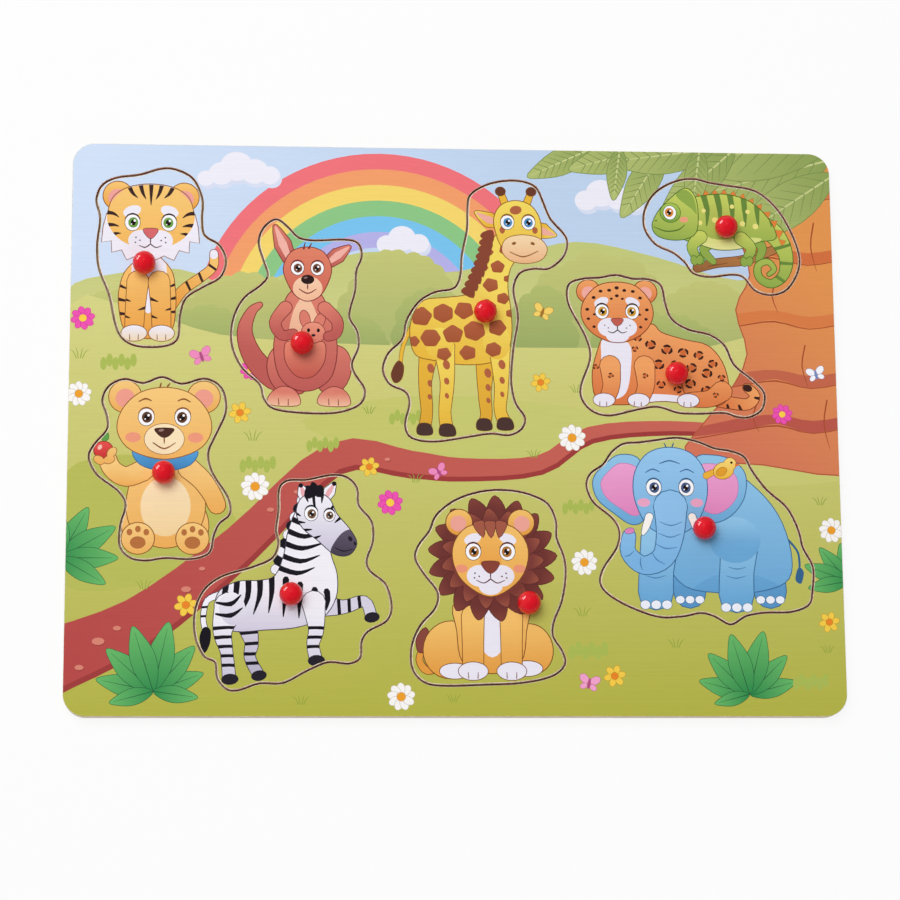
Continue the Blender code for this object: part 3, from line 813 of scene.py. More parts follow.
# %% The chameleon, on a twig
def chameleon(art):
    coat, deep, art.rim, spot = "#CBD764", "#92AE4C", "#4B6E27", "#F0E884"
    fur = partial(rising, deep, coat)
    art.draw(("#8A5A34", "#B47B45", (-11, 60), (-6, 74)), stroke([(-10, 65), (-2, 67), (10, 68.6),
        (26, 75)], [3.6, 3.4, 3.8, 2.6]), line=0.3, pen="#6B4024")
    art.lines("#6B4024", [0.3, 0.2], [(-6, 65.6), (2, 67)], [(6, 69), (14, 70.4)])
    art.draw("#7DB04A", leaf(-8, 66.6, 5, 3.4, 110), leaf(22, 73, 4, 2.8, 20), line=0.2)
    for x, y, bend in ((-3, 76, -4.4), (13, 77, 3)):
        art.draw(deep, stroke([(x, y), (x + bend, y - 3.6), (x + bend * 0.3 + 0.6, y - 8.4)],
            [4.6, 3.4, 2.4]), line=0.25)
    tail = art.draw((deep, coat, (16, 58), (20, 84)), stroke([(13, 84), (21, 79), (25.4, 70.6),
        (24.4, 62.6), (19.4, 58.8), (14.6, 61.2), (14.2, 66), (18, 67.8), (20.6, 64.8), (18.4, 62.6)],
        [9, 7.6, 5.4, 4, 3.2, 2.8, 2.5, 2.2, 1.8, 1.4]))
    back = spline([(-10, 93.4), (-4, 94.6), (3, 94.6), (10, 92.4), (16, 88), (21, 81), (24, 74)],
        closed=False, steps=2)
    for (ax, ay), (bx, by) in zip(back, back[1:]):
        tip = ((ax + bx) / 2 - (by - ay) * 0.72, (ay + by) / 2 + (bx - ax) * 0.72)
        art.draw("#E9853C", [(ax, ay), (bx, by), tip], line=0.18)
    body = art.draw(fur(71, 95), spline([(-18, 80), (-13, 92), (-6, 94.6), (3, 95), (12, 92), (19, 85),
        (21.6, 77.6), (15, 76), (7, 73), (-2, 72.6), (-10, 75), (-15, 76.6)]))
    stripes = [[(-8 + i * 5.6, 98), (-5.6 + i * 5, 89), (-6 + i * 5.2, 82)] for i in range(6)]
    art.lines("#6A8C3C", [2.6, 2.1, 0.4], *stripes, inside=body)
    art.lines("#6A8C3C", [1.5, 1.1], [(21, 73), (28, 75)], [(21.6, 67.4), (27.8, 67)],
        [(20.6, 62.4), (25.8, 58.8)], inside=tail)
    art.fill(rising("#E8E79A", "#D5DE78", 72, 79), spline([(-13, 75), (-2, 71.6), (9, 73), (16, 77),
        (8, 77.6), (-2, 76.6), (-10, 79)]), inside=body)
    art.fill(spot, *[oval(x, y, r, steps=10) for x, y, r in ((-8.6, 83.4, 1), (-2.6, 84.6, 1.2),
        (8.4, 83.2, 1.1), (13.6, 82.2, 1.2), (-7, 88.4, 0.9), (10.6, 88.2, 0.9), (4.4, 90.2, 0.9))])
    for x, y, bend in ((-8.6, 77, -3.4), (7.6, 76.6, 4)):
        art.draw(fur(y - 8, y + 2), stroke([(x, y + 0.6), (x + bend, y - 3.4), (x + bend * 0.5, y - 8)],
            [5.2, 4, 3]), line=0.3)
        art.draw(deep, oval(x + bend * 0.5 - 1, y - 9, 1.3, 1.9, 10, 12),
            oval(x + bend * 0.5 + 1.2, y - 8.8, 1.3, 1.9, -10, 12), line=0.25)
    head = art.draw((deep, coat, (-22, 76), (-18, 96)), spline([(-27.6, 82.4), (-25.4, 87.4), (-21.4, 92),
        (-14.6, 97.4), (-10.6, 94.4), (-9.4, 87), (-10.4, 79.4), (-15.4, 76.6), (-22, 76.6),
        (-26.4, 78.6)]))
    art.fill(deep, spline([(-18, 94.4), (-14.6, 97), (-11, 94), (-9.8, 87), (-11.8, 89)]), inside=head)
    art.lines(art.rim, [0.3, 0.5, 0.5, 0.25], [(-27.2, 81.6), (-22.4, 79.8), (-17.4, 80.4),
        (-14.6, 82.6)])
    art.fill("#F0A37E", oval(-15, 84.6, 1.7, 1.2), inside=head)
    art.fill(art.rim, oval(-26.2, 84, 0.45, 0.35, steps=8))
    art.draw(("#6E9E40", "#B3CE58", (-21, 83), (-20, 92)), oval(-20.4, 87.4, 4, 3.9), line=0.25)
    eye(art, -20.6, 87.4, 2.5, "#E58A2E", (-0.35, 0.1), rim=art.rim)


draw_animal(chameleon, 106)

# %% The leopard, lying down
def rosette(art, x, y, size, turn, ink, inside):
    """A leopard's spot: a broken ring with a warm middle."""
    art.fill("#D56F3A", oval(x, y, size * 0.8, size * 0.7, turn, 9), inside=inside)
    for start in (0, 130, 250):
        arc = [around(x, y, size, turn + start + a, 0.86) for a in (0, 40, 80)]
        art.fill(ink, stroke(arc, [size * 0.4, size * 0.55, size * 0.35], steps=2, tip=2), inside=inside)


def leopard(art):
    coat, deep, art.rim, cream, ink = "#F6A765", "#E07B45", "#84401F", "#F1EEF6", "#3B211B"
    fur = partial(rising, deep, coat)
    tail = art.draw((deep, coat, (40.4, 10), (52.4, 18)), stroke([(36.4, 12), (44.4, 10.4), (51, 10),
        (53.8, 13.4), (50.8, 16.6)], [5, 4.6, 4.2, 3.8, 3.2]))
    art.fill(ink, oval(51, 16.4, 1.9, 1.5, -20, 12), inside=tail)
    art.lines(ink, [1.5, 0.9], [(43.4, 7), (42.8, 9.6)], [(48.4, 6.8), (47.4, 9.4)],
        [(56.8, 12), (53.8, 12.6)], inside=tail)
    body = art.draw((deep, coat, (21.4, 8), (26.4, 38)), spline([(-3.6, 38), (-8.2, 30), (-10.2, 20),
        (-7.6, 10.6), (4.4, 9.6), (18.4, 11), (34.4, 9), (42, 11), (43.4, 18), (41, 27), (35.4, 33.4),
        (26.4, 35.6), (17.4, 38.4), (12.4, 42)]))
    art.fill(cream, spline([(-5.6, 36), (-6.6, 28), (-6.6, 20), (-3, 12), (2.8, 14), (5, 24), (4.4, 34)]),
        inside=body)
    art.fill(cream, spline([(6.4, 8), (10.4, 13), (18.4, 13.6), (28.4, 12), (30.4, 7)]), inside=body)
    for i, (x, y, size) in enumerate(((13, 33.6, 1.8), (19.4, 31.6, 1.9), (25.8, 30.4, 1.8),
            (32, 29.4, 1.7), (37.4, 26, 1.6), (9.4, 27.4, 1.6), (16, 25.6, 1.9), (22.8, 25.6, 1.7),
            (29, 24.4, 1.8), (35, 22.2, 1.8), (40.8, 20.4, 1.3), (11.4, 20.2, 1.7), (28.4, 18, 1.8),
            (34.6, 15.4, 1.7), (40, 14.2, 1.5), (16.8, 17.6, 1.5), (8, 36.2, 1.4), (10.8, 15, 1.2),
            (23.4, 15.6, 1.4), (-8.8, 24.4, 1), (6.8, 31.8, 1.1), (7.8, 22, 1))):
        rosette(art, x, y, size, i * 47, ink, body)
    art.lines(art.rim, [0.3, 0.45, 0.3], [(26.8, 24), (25, 17), (28.4, 11)])
    for turn, limb in ((95.4, [(40.8, 15), (35.8, 12), (28.4, 11.6)]),
            (61.4, [(-3.2, 25), (-2.8, 17), (-4.8, 11.6)]), (75, [(10.4, 25), (10.8, 17), (8.8, 11.6)])):
        limb_shape = art.draw(fur(8, 24), stroke(limb, [8, 6.4, 5.6]), line=0.3)
        rosette(art, *between(limb[0], limb[1]), 1, turn, ink, limb_shape)
        x, y = limb[2]
        art.draw(cream, oval(x - 1, y - 0.4, 4.2, 2.6), line=0.3)
        art.lines(art.rim, [0.4, 0.2], [(x - 2.8, 9), (x - 2.6, 10.8)], [(x, 8.8), (x, 10.6)])
    art.draw(fur(50.8, 58.8), oval(11.2, 54.8, 4.6), twin=True)
    art.fill("#F5AFA0", oval(11.2, 54.2, 2.7), twin=True)
    head = art.draw(fur(34, 58), spline(whole([(0, 34.4), (5, 35.4), (10.6, 38.8), (14, 44.6), (13, 51),
        (7.6, 57), (0, 58.6)])))
    art.fill(cream, oval(6.2, 50.6, 3, 1.8, -25), inside=head, twin=True)
    art.fill(cream, oval(3.2, 40.4, 4.6, 3.8), oval(0, 37, 4.6, 2.8), inside=head, twin=True)
    spots = ((0, 56.4, 0.9), (0, 53.2, 0.8), (3, 55.4, 0.8), (2.2, 52, 0.6), (6.4, 55, 0.8),
        (9.2, 52.4, 0.8), (11.8, 47.6, 0.8), (11.4, 43.8, 0.7), (9.2, 40.6, 0.7), (9, 45.6, 0.6))
    art.fill(ink, *[oval(x * side, y, r, r * 0.8, steps=9) for x, y, r in spots for side in (-1, 1)],
        inside=head)
    eyes(art, 6, 46.8, 2.6, "#D8A02E", (0.3, 0), ink)
    nose, mouth = [(2.2, 43.8), (1.4, 41.8), (0, 41)], [(0, 41), (0, 39.4), (1.8, 38.2), (3.8, 38.8)]
    cat_mouth(art, "#C65F52", ink, nose, mouth, [0.45, 0.4, 0.25], 0.28, [(5, 41.2), (3.6, 40.2)], 0.18)


draw_animal(leopard, 63.6)

# %% The bear, with an apple
def bear(art):
    coat, deep, art.rim, cream = "#FBCE7E", "#F1B058", "#8E5526", "#FFE9BD"
    fur = partial(rising, deep, coat)
    art.draw(fur(-48, -28), oval(-8.8, -37.6, 6.6, 9.8, -16), oval(10.4, -37.6, 6.6, 9.8, 16))
    body = art.draw(fur(-49, -10), spline([(1, -9), (-8, -12), (-12.6, -22), (-14, -34), (-9.6, -44),
        (1, -48), (11.2, -44), (15.8, -34), (14.4, -22), (10, -12)]))
    art.fill(rising("#F7D59A", cream, -44, -20), oval(0.8, -32, 9.6, 11.6), inside=body)
    for points in ([(-8, -18), (-14.4, -20.4), (-19.6, -17.6), (-22, -12.6)],
            [(9.4, -17), (14.6, -21.6), (18.4, -27), (20.4, -31.4)]):
        art.draw(fur(points[2][1] - 6, points[0][1]), stroke(points, [8, 7.4, 6.8, 6.6]))
    art.draw("#5FA24A", leaf(-23.4, -6.6, 3.6, 2.4, 60), line=0.2, pen="#3C6E30")
    art.draw(("#C6282C", "#F0564E", (-23, -14), (-24, -6)), oval(-23.2, -10.2, 3.6, 3.4), line=0.3,
        pen="#7E1A1C")
    art.fill("#FBC2B4", oval(-24.6, -9, 0.8, 1.1, -30, 10))
    fingers = [oval(x, y, 1.5, 2.2, t, 12) for x, y, t in ((-20, -11, -40), (-21, -13.8, -70),
        (-24.8, -14, 60))]
    art.draw(fur(-16, -8), *fingers, line=0.25)
    for x in (-9.6, 11.2):
        art.draw(fur(-52, -40), oval(x, -44.4, 6.2, 6))
        toes = [oval(x + dx, y, 1.1, 1.3, steps=12) for dx, y in ((-3.2, -42), (0, -40.8), (3.2, -42))]
        art.fill("#B9713C", oval(x, -46, 3, 2.4), *toes)
    art.draw(fur(5, 17), oval(-15.2, 11, 6.2), oval(15, 11, 6.2))
    art.fill("#F3A08C", oval(-15.2, 10.4, 3.7), oval(15, 10.4, 3.7))
    # scarf
    art.draw(rising("#3F86BE", "#57A5DA", -18, -10), spline([(-11.6, -10), (-9, -15.6), (0.4, -18),
        (10, -15.6), (12.4, -10), (0.4, -13)]), line=0.3, pen="#2C5F8A")
    head = art.draw(rising("#F6BA63", coat, -13, 14), spline(
        whole([(0, -13.4), (12.4, -10), (17.8, -3), (16.4, 5.4), (9.6, 12.4), (0, 14.6)])))
    art.draw(cream, oval(0, -5.6, 7.6, 6), line=0.22)
    art.fill("#F39C7C", oval(12, -5, 3, 2), inside=head, twin=True)
    art.fill("#4A2A20", spline(whole([(3.6, -1.4), (2.4, -4), (0, -5.2)])))
    art.fill("#9B7A70", oval(-1.2, -2.2, 1.1, 0.5, 10, 10))
    art.lines(art.rim, [0.45, 0.6, 0.3], [(0, -5), (0, -7.4)], [(-4.4, -7), (0, -9.4), (4.4, -7)])
    eyes(art, 7, 3, 3, "#5C3A26", (0.3, -0.1), art.rim)
    art.lines(art.rim, [0.4, 0.7, 0.4], [(-10, 9), (-7.4, 10.2), (-5, 9.4)],
        [(10, 9), (7.4, 10.2), (5, 9.4)], [(-2, 14.4), (-1.4, 16.6)], [(0.6, 14.6), (2, 16.4)])


draw_animal(bear, -113)

# %% The zebra, trotting
def zebra(art):
    coat, deep, art.rim, ink = "#F8F6FA", "#D2CCDD", "#3C3544", "#17141C"
    fur = partial(rising, deep, coat)
    horn = "#241F28"
    for line, paths in (([(-18, -74), (-15, -84), (-15.6, -90), (-12.4, -96.4)],
            [[(-20, -81), (-10, -80)], [(-19, -85), (-10, -84.4)], [(-19, -88.8), (-10, -88.6)],
            [(-18, -92.4), (-9, -92)]]), ([(10, -70), (20, -70.6), (28, -68.4), (30.6, -74)],
            [[(18, -66), (18.6, -75)], [(22, -66), (22.4, -74)], [(25.6, -64), (26.6, -73)]])):
        far_leg = leg(art, rising("#B9B3C6", "#DCD7E4", -98, -76), line, [9, 5, 4, 4.2], horn,
            oval(0.3, -0.6, 2.9, 1.9, 10, 14))
        art.lines(ink, [1.3, 1.3], *paths, inside=far_leg)
    tail = art.draw(coat, stroke([(-27, -66), (-32, -68.4), (-33.4, -75), (-32.4, -80)],
        [2.6, 2, 1.8, 2]), line=0.25)
    art.lines(ink, [0.9, 0.9], [(-35, -71), (-30, -70.6)], [(-35, -74.4), (-31, -74.2)], inside=tail)
    art.fill(ink, spline([(-33.2, -78.6), (-34.8, -83), (-33, -88.4), (-30.8, -85), (-30.6, -79.6)]))
    # mane, body, neck
    for i in range(10):
        t = i / 9
        x, y = -5 + 10.2 * t + math.sin(t * math.pi) * -0.4, -57 + 30.4 * t
        art.draw(ink if i % 2 else coat, spline([(x + 4, y - 2.4), (x - 2.4 + t, y - 0.4),
            (x - 1.6 + t, y + 2.6), (x + 4, y + 2.4)], steps=3), line=0.22)
    body = art.draw((deep, coat, (-8, -82), (-6, -62)), spline([(-29, -71), (-27, -64.4), (-20, -61),
        (-12, -60.6), (-6, -58.6), (-2.6, -50), (-1, -41), (3.4, -32), (12, -33), (14.4, -41), (15, -50),
        (17.4, -58), (17, -67), (12, -74.6), (2, -78.4), (-10, -79.4), (-21, -80), (-27.6, -77)]))
    art.lines(ink, [2.5, 2, 0.3], [(-24.6, -60), (-26, -68), (-31, -75)],
        [(-20.6, -59), (-21.6, -68), (-27, -78)], [(-16.4, -58.6), (-16.6, -67), (-20.6, -75.4)],
        [(-12, -59), (-12, -66), (-14.4, -73.6)], [(-7.6, -57), (-7.4, -65), (-8.6, -73)],
        [(-2, -60), (-2.4, -67), (-3, -74.6)], [(3.4, -62), (3.2, -68), (3, -75)],
        [(9, -64), (9, -69), (8.4, -74)], [(13.6, -64.6), (14, -68), (13.4, -72)], inside=body)
    art.lines(ink, [2.2, 1.9, 0.3], [(-7, -54.6), (2, -57.6), (9, -55.4)],
        [(-5.6, -50), (3.4, -53), (11, -50.6)], [(-4, -45.4), (4, -48), (13, -45.6)],
        [(-2.6, -40.6), (5, -43.4), (13, -41)], [(-1, -36), (5.6, -38.6), (12, -36.8)], inside=body)
    # near legs
    for line, widths, heights in (([(-23.6, -71), (-26, -80), (-24.4, -88), (-23.4, -97.6)],
            [11.6, 7, 4.4, 4.8], (4, 7.6, 11.2, 14.8, 18.4)),
            ([(8.6, -69), (9.6, -79), (8.4, -85), (9.4, -90.4)], [9, 5.6, 4.4, 4.6], (4, 7.6, 11.2))):
        near_leg = leg(art, fur(-97, -74), line, widths, horn, oval(0.3, -0.8, 3.2, 2, 4, 14))
        x, y = line[-1]
        paths = [[(x - 8, y + k), (x, y + k + 0.6), (x + 7, y + k)] for k in heights]
        art.lines(ink, [1.6, 1.2, 1.6], *paths, inside=near_leg)
    art.fill(fur(-80, -64), oval(-22.4, -71.4, 5, 6.4, 10), inside=body)
    art.lines(ink, [0.6, 1.9, 0.3], [(-29, -69), (-23, -69.6), (-19, -66)],
        [(-29, -73.4), (-23, -74), (-18.4, -71)], inside=body)
    # head in three-quarter view
    for root, tip in (((5.4, -29), (3.6, -23.6)), ((13, -28.4), (16.4, -22.8))):
        pointed_ear(art, coat, "#EFB1B4", [root, between(root, tip), tip], [3.4, 4.4, 1.4], [1.4, 2, 0.5])
        art.fill(ink, oval(tip[0], tip[1] + 0.1, 0.9, 0.9, steps=10))
    head = art.draw(fur(-48, -28), spline([(9.4, -26.4), (4, -28.4), (2, -34), (4.4, -40), (10, -44.6),
        (16.4, -50), (22, -50.4), (25, -46), (22.4, -40.6), (17.4, -34.6), (14.4, -28.6)]))
    art.fill(("#453D4C", "#5E5566", (20, -51), (21, -42)), spline([(15, -49.6), (21, -52), (27, -49),
        (27, -43.6), (22.6, -40.6), (18.4, -43)]), inside=head)
    art.lines(ink, [1.3, 1, 0.3], [(8.4, -26), (8.8, -31), (10, -35)], [(5.4, -27), (6.4, -30)],
        [(12, -26.4), (11.6, -30.4)], [(1, -34), (3.6, -35.4)], [(1.4, -37.6), (5.4, -38)],
        [(4, -41), (8, -40.6)], [(16.6, -31), (14.6, -33.4)], [(19.6, -35.4), (16.6, -38)],
        [(8, -44.4), (11.4, -43)], inside=head)
    for k, (x, y) in enumerate(((6.6, -25.6), (8.6, -24.6), (10.8, -25))):
        art.fill(ink, spline([(x - 1.6, y - 2.6), (x - 1, y + 1.4 + (k == 1)), (x + 1.4, y + 1.2),
            (x + 1.4, y - 2.6)], steps=3))
    eye(art, 7.6, -34.4, 2.5, "#7A5A3C", (0.3, -0.2), ink)
    eye(art, 14.6, -35, 2.1, "#7A5A3C", (0.2, -0.2), ink)
    art.fill("#231D28", oval(22.6, -44.2, 0.8, 1.1, 30, 10), oval(24.4, -46, 0.5, 0.8, 20, 10))
    art.lines("#231D28", [0.3, 0.55, 0.3], [(16.6, -47.6), (20, -49), (23.6, -48.2)])


draw_animal(zebra, -64)

# %% The lion, sitting
def lion(art):
    coat, deep, art.rim, cream = "#F9C66C", "#E99F42", "#7B4520", "#F1EEF6"
    fur = partial(rising, deep, coat)
    mane, dark = "#8B473B", "#5F2B28"
    art.draw(deep, stroke([(-18.6, -93), (-24.6, -95), (-27.6, -91), (-26.2, -86.4)], [3, 2.7, 2.4, 2.2]),
        line=0.3)
    art.draw(mane, spline([(-28, -87.6), (-28.6, -82.6), (-25.2, -78.6), (-23.4, -83), (-24.6, -87.4)]),
        line=0.3, pen=dark)
    for x, y, rx, ry, turn, foot in ((-15.6, -87, 10.4, 11, -14, (-14, -95.2)),
            (15.4, -86.6, 8.2, 9.6, 14, (13.8, -94.2))):
        art.draw(fur(y - 10, y + 10), oval(x, y, rx, ry, turn))
        art.draw(cream, oval(*foot, 5.8, 2.9), line=0.3)
    body = art.draw(fur(-97, -72), spline([(-12.6, -68), (-13, -80), (-10.6, -92), (0.4, -96), (11, -92),
        (13.4, -80), (13, -68)]))
    art.fill(cream, spline([(-5.6, -70), (-6.2, -82), (0.4, -90), (7, -82), (6.4, -70)]), inside=body)
    for x in (-7, 7.8):
        art.draw(fur(-97, -76), stroke([(x, -74), (x, -84), (x, -93)], [8.6, 8, 7.8]), line=0.3)
        art.draw(cream, oval(x, -95.2, 5.6, 3.4), line=0.3)
        art.lines(art.rim, [0.4, 0.25], [(x - 1.8, -98), (x - 1.9, -95.6)],
            [(x + 1.8, -98), (x + 1.9, -95.6)])
    # mane: two rows of locks
    for count, rx, ry, size, low, high, lean in ((17, 20, 19.6, 6.8, "#6F342F", mane, 0),
            (15, 15.6, 15.4, 5.8, "#7E3D35", "#A65B45", 8)):
        lock = spline([(-size * 0.6, -size * 0.52), (size * 0.16, -size * 0.44),
            (size * 0.72, 0.12 * size), (size * 0.16, size * 0.46), (-size * 0.6, size * 0.52)], steps=3)
        for i in range(count):
            a = 360 / count * i - 84 + lean
            root = around(0.8, -51.6, rx, a, ry / rx)
            art.draw((low, high, root, around(*root, size, a)), moved(lock, *root, a), line=0.3, pen=dark)
    art.draw(fur(-42, -33), oval(12, -37.6, 5), twin=True)
    art.fill("#F2A896", oval(12.3, -38, 3.1), twin=True)
    art.fill("#7E3D35", oval(0, -51.6, 15.2, 15))
    head = art.draw(rising("#F3B153", coat, -66, -38), spline(
        whole([(0, -66.4), (9.6, -61.4), (14, -54), (14, -46), (9, -39.6), (0, -37.8)])))
    art.fill(cream, oval(6.8, -44, 3.4, 2, -20), inside=head, twin=True)
    art.fill("#F29B78", oval(11.2, -55.6, 2.4, 1.6), inside=head, twin=True)
    art.fill(rising("#EFA549", "#F5B75B", -56, -44), spline(whole([(3.6, -56), (4, -50), (3.2, -43)])),
        inside=head)
    art.fill(cream, oval(4.2, -58.4, 5, 4.2), oval(0, -62.4, 4.6, 3.4), inside=head, twin=True)
    nose, mouth = [(3.2, -53), (2.2, -56), (0, -57.4)], [(0, -57.4), (0, -59.6), (2.6, -61.2), (5.6, -60)]
    cat_mouth(art, "#8C4436", dark, nose, mouth, [0.5, 0.45, 0.25], 0.34,
        [(6, -57.4), (4.4, -58.6), (6.2, -59.2)])
    eyes(art, 6.6, -49, 2.9, "#B4742C", (0.3, 0), dark)
    for x in (-4, 0, 4):
        forelock = spline([(-2.2, 1.6), (0, 2.6), (2.2, 1.6), (0.4, -4)], steps=3)
        art.draw("#A65B45", moved(forelock, x, -39.6, -3.5 * x), line=0.25, pen=dark)


draw_animal(lion, 12.6)

# %% The elephant, with a bird on its back
def elephant(art):
    coat, deep, art.rim, pink = "#94CAEA", "#6DACD8", "#35668F", "#F2A6D2"
    fur = partial(rising, deep, coat)
    nail = "#F3F7FC"
    art.lines(art.rim, [0.9, 0.8], [(46, -44), (49.6, -49), (50, -56)])
    art.fill(art.rim, spline([(49.6, -54.6), (48.2, -59.4), (50.4, -61), (51.6, -56.6)]))
    for x in (6.6, 38):
        art.draw(rising("#5A98C8", deep, -68, -50), stroke([(x, -48), (x, -57), (x + 0.2, -64.4)],
            [13.4, 12, 12.4]))
        art.draw(nail, *[oval(x + d, -67.4, 1.7, 1.5, steps=12) for d in (-3.6, 0.2, 4)], line=0.2)
    body = art.draw(fur(-66, -16), spline([(5, -18), (20, -14.6), (32.6, -22.6), (42, -34), (46.6, -48),
        (45.6, -59), (36, -63.6), (21, -64.6), (5, -62), (-3, -50), (-5, -34)]))
    art.fill(rising("#62A1D0", deep, -66, -56), spline([(9, -66), (15, -58.6), (27, -57), (39, -60),
        (47, -68)]), inside=body)
    for x, low in ((-6.4, -66), (25, -67)):
        art.draw(fur(low, -44), stroke([(x + 2, -44), (x + 0.4, -56), (x, low + 1.4)], [14.6, 13, 13.4]))
        art.draw(nail, *[oval(x + d, low - 3.4, 1.9, 1.7, steps=12) for d in (-4.2, 0, 4.2)], line=0.2)
        art.lines("#4C84B4", [0.2, 0.45, 0.2], [(x - 4, -58), (x, -59), (x + 4, -58)],
            [(x - 3, -54.6), (x + 0.6, -55.4), (x + 4, -54.6)])
    art.fill(fur(-46, -36), oval(25, -44, 10, 9), inside=body)
    # ears
    for ear, inner in (([(-11, -14), (-19, -10.6), (-25.4, -14.6), (-30, -20.6), (-28.4, -28),
            (-22, -33.6), (-15, -38), (-10, -34)], [(-12, -17), (-19, -14), (-24, -17.4), (-27, -22),
            (-25, -27.4), (-19.6, -31.6), (-14, -34.6), (-11, -31)]),
            ([(10, -13), (17, -10.6), (24.6, -12.6), (29.6, -18), (29, -27), (24, -34), (17, -37),
            (11, -33)], [(11, -16), (17, -14), (22.8, -15.8), (26.4, -20), (26, -27), (21.6, -32),
            (16.4, -33.6), (12, -30)])):
        art.draw(fur(-38, -12), spline(ear))
        art.draw(rising("#E487BE", pink, -36, -14), spline(inner), line=0.2, pen="#C46CA4")
    head = art.draw(rising("#79B5E0", "#9CCDF1", -44, -8), spline([(0, -7.6), (-8.4, -10), (-13.4, -17),
        (-14.2, -26), (-11.4, -34.6), (-7, -40), (0, -42), (7, -40), (11.6, -34.6), (14.4, -26),
        (13.6, -17), (8.6, -10)]))
    # trunk, lifted to the left
    trunk = ("#7FB8E4", "#93C7EE", (1, -52), (0, -34))
    art.draw(trunk, stroke([(0, -31), (-0.4, -42), (-3.4, -51), (-11, -54), (-16.8, -49), (-16.4, -42.6)],
        [13, 10.4, 8.4, 6.8, 5.8, 5]))
    art.fill(trunk, oval(0, -31, 6.5, 6))
    art.draw("#E487BE", oval(-16.2, -40.6, 1.9, 1.1, 10, 12), line=0.2)
    art.lines("#4C84B4", [0.2, 0.5, 0.2], [(-4.4, -37), (0, -38.4), (4.4, -37)],
        [(-5, -41.4), (-0.4, -43), (4, -41.6)], [(-6, -45.6), (-2.4, -47.4), (2.2, -47)],
        [(-7.6, -49), (-5.8, -51.8), (-2.6, -53.6)], [(-12, -50.8), (-12.2, -53.6), (-11.4, -56)],
        [(-14.6, -48.4), (-16.6, -50.2), (-18.4, -50.6)])
    art.draw("#FFFBF0", stroke([(8.4, -35), (9.744, -39), (10.92, -41.6)], [3, 2.6, 1.2]), line=0.25,
        twin=True)
    eyes(art, 6.4, -23.4, 2.9, "#4A5C86", (0.25, -0.1), art.rim)
    art.lines(art.rim, [0.3, 0.55, 0.3], [(-9.6, -17.6), (-6.8, -16.2), (-4, -17.2)],
        [(9.6, -17.6), (6.8, -16.2), (4, -17.2)], [(-1, -7.8), (-2, -5.8)], [(1, -7.8), (1.8, -5.6)],
        [(-4, -14), (0, -12.8), (4, -14)])
    art.fill("#F0A9C6", oval(10.4, -29.4, 2.5, 1.7), inside=head, twin=True)
    # a small bird on its back
    bird = "#9A6A20"
    art.draw("#F2B63C", stroke([(18, -16.8), (14.4, -18.6)], [1.8, 2.6]), line=0.2, pen=bird)
    art.draw(rising("#F4B93A", "#FFE07A", -20, -12), oval(21.2, -16.6, 4, 3.2, 20), oval(23.8, -14, 2.4),
        line=0.25, pen=bird)
    art.draw("#E8A22E", oval(20.4, -17, 2.2, 1.5, 30, 14), line=0.18, pen=bird)
    art.fill("#E8702E", [(25.8, -13.6), (28, -14.4), (25.8, -15)])
    art.fill("#1C1210", oval(24.4, -13.4, 0.5, steps=10))


draw_animal(elephant, 83)

# %% [markdown]
# ## From shapes to a printed film
# A printer lays one ink over another. Here each board's print becomes a map without overlaps: every
# outline cuts the surface like a knife, and each scrap takes the colour of the topmost shape that
# covers it. A Delaunay triangulation does the cutting. The scraps are then thickened into a film as
# thin as real ink, 0.03 mm, which lies on the wood and follows its piece when that is lifted.

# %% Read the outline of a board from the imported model
def rims(node, height):
    """The closed outlines of a board's top face in millimetres, the largest first."""
    mesh = bmesh.new()
    mesh.from_mesh(frame["nodes"][node].data)
    bmesh.ops.remove_doubles(mesh, verts=mesh.verts, dist=0.001 * MM)
    top = {f for f in mesh.faces if f.normal.z > 0.9 and abs(
        f.calc_center_median().z / MM - height) < 0.01}
    edges = {e for f in top for e in f.edges if sum(other in top for other in e.link_faces) == 1}
    loops = []
    while edges:
        edge = edges.pop()
        first, end = edge.verts
        loop = [first]
        while end != first:
            loop.append(end)
            edge = next(e for e in end.link_edges if e in edges)
            edges.remove(edge)
            end = edge.other_vert(end)
        loops.append([(v.co.x / MM, v.co.y / MM) for v in loop])
    mesh.free()
    return sorted((anticlockwise(loop) for loop in loops), key=area, reverse=True)


def anticlockwise(loop):
    """The outline, reversed where it runs clockwise."""
    return loop if area(loop) > 0 else loop[::-1]


BOARD_TOP = 6.0
print("the tray's top has", len(rims("tray_board", BOARD_TOP)), "outlines")

# %% Find the scraps that a shape covers
def covered(centres, shape):
    """Which of the points lie inside a shape, by how often its outline winds round them."""
    line = np.array(shape)
    near = np.flatnonzero(((centres > line.min(0)) & (centres < line.max(0))).all(1))
    winding = np.zeros(len(near), int)
    x, y = centres[near].T
    for (ax, ay), (bx, by) in zip(line, np.roll(line, -1, 0)):
        side = (bx - ax) * (y - ay) - (x - ax) * (by - ay)
        winding += ((ay <= y) & (by > y) & (side > 0)).astype(int)
        winding -= ((by <= y) & (ay > y) & (side < 0)).astype(int)
    return near[winding != 0]


def inked(ink, places):
    """The linear colour of an ink at each place. An ink is one colour, or a blend between two points."""
    if isinstance(ink, str):
        return np.tile(linear(ink), (len(places), 1))
    low, high, start, end = ink
    run = np.subtract(end, start)
    share = np.clip((places - start) @ run / (run @ run), 0, 1)[:, None]
    return np.array(linear(low)) * (1 - share) + np.array(linear(high)) * share


SQUARE = [(-1, -1), (1, -1), (1, 1), (-1, 1)]
print("of 3 points in a row, a square covers", len(covered(np.array([(-3, 0), (0, 0), (3, 0)]), SQUARE)))

# %% Cut the picture into scraps
WELD = 0.0001  # corners that lie closer than this, in millimetres, become one


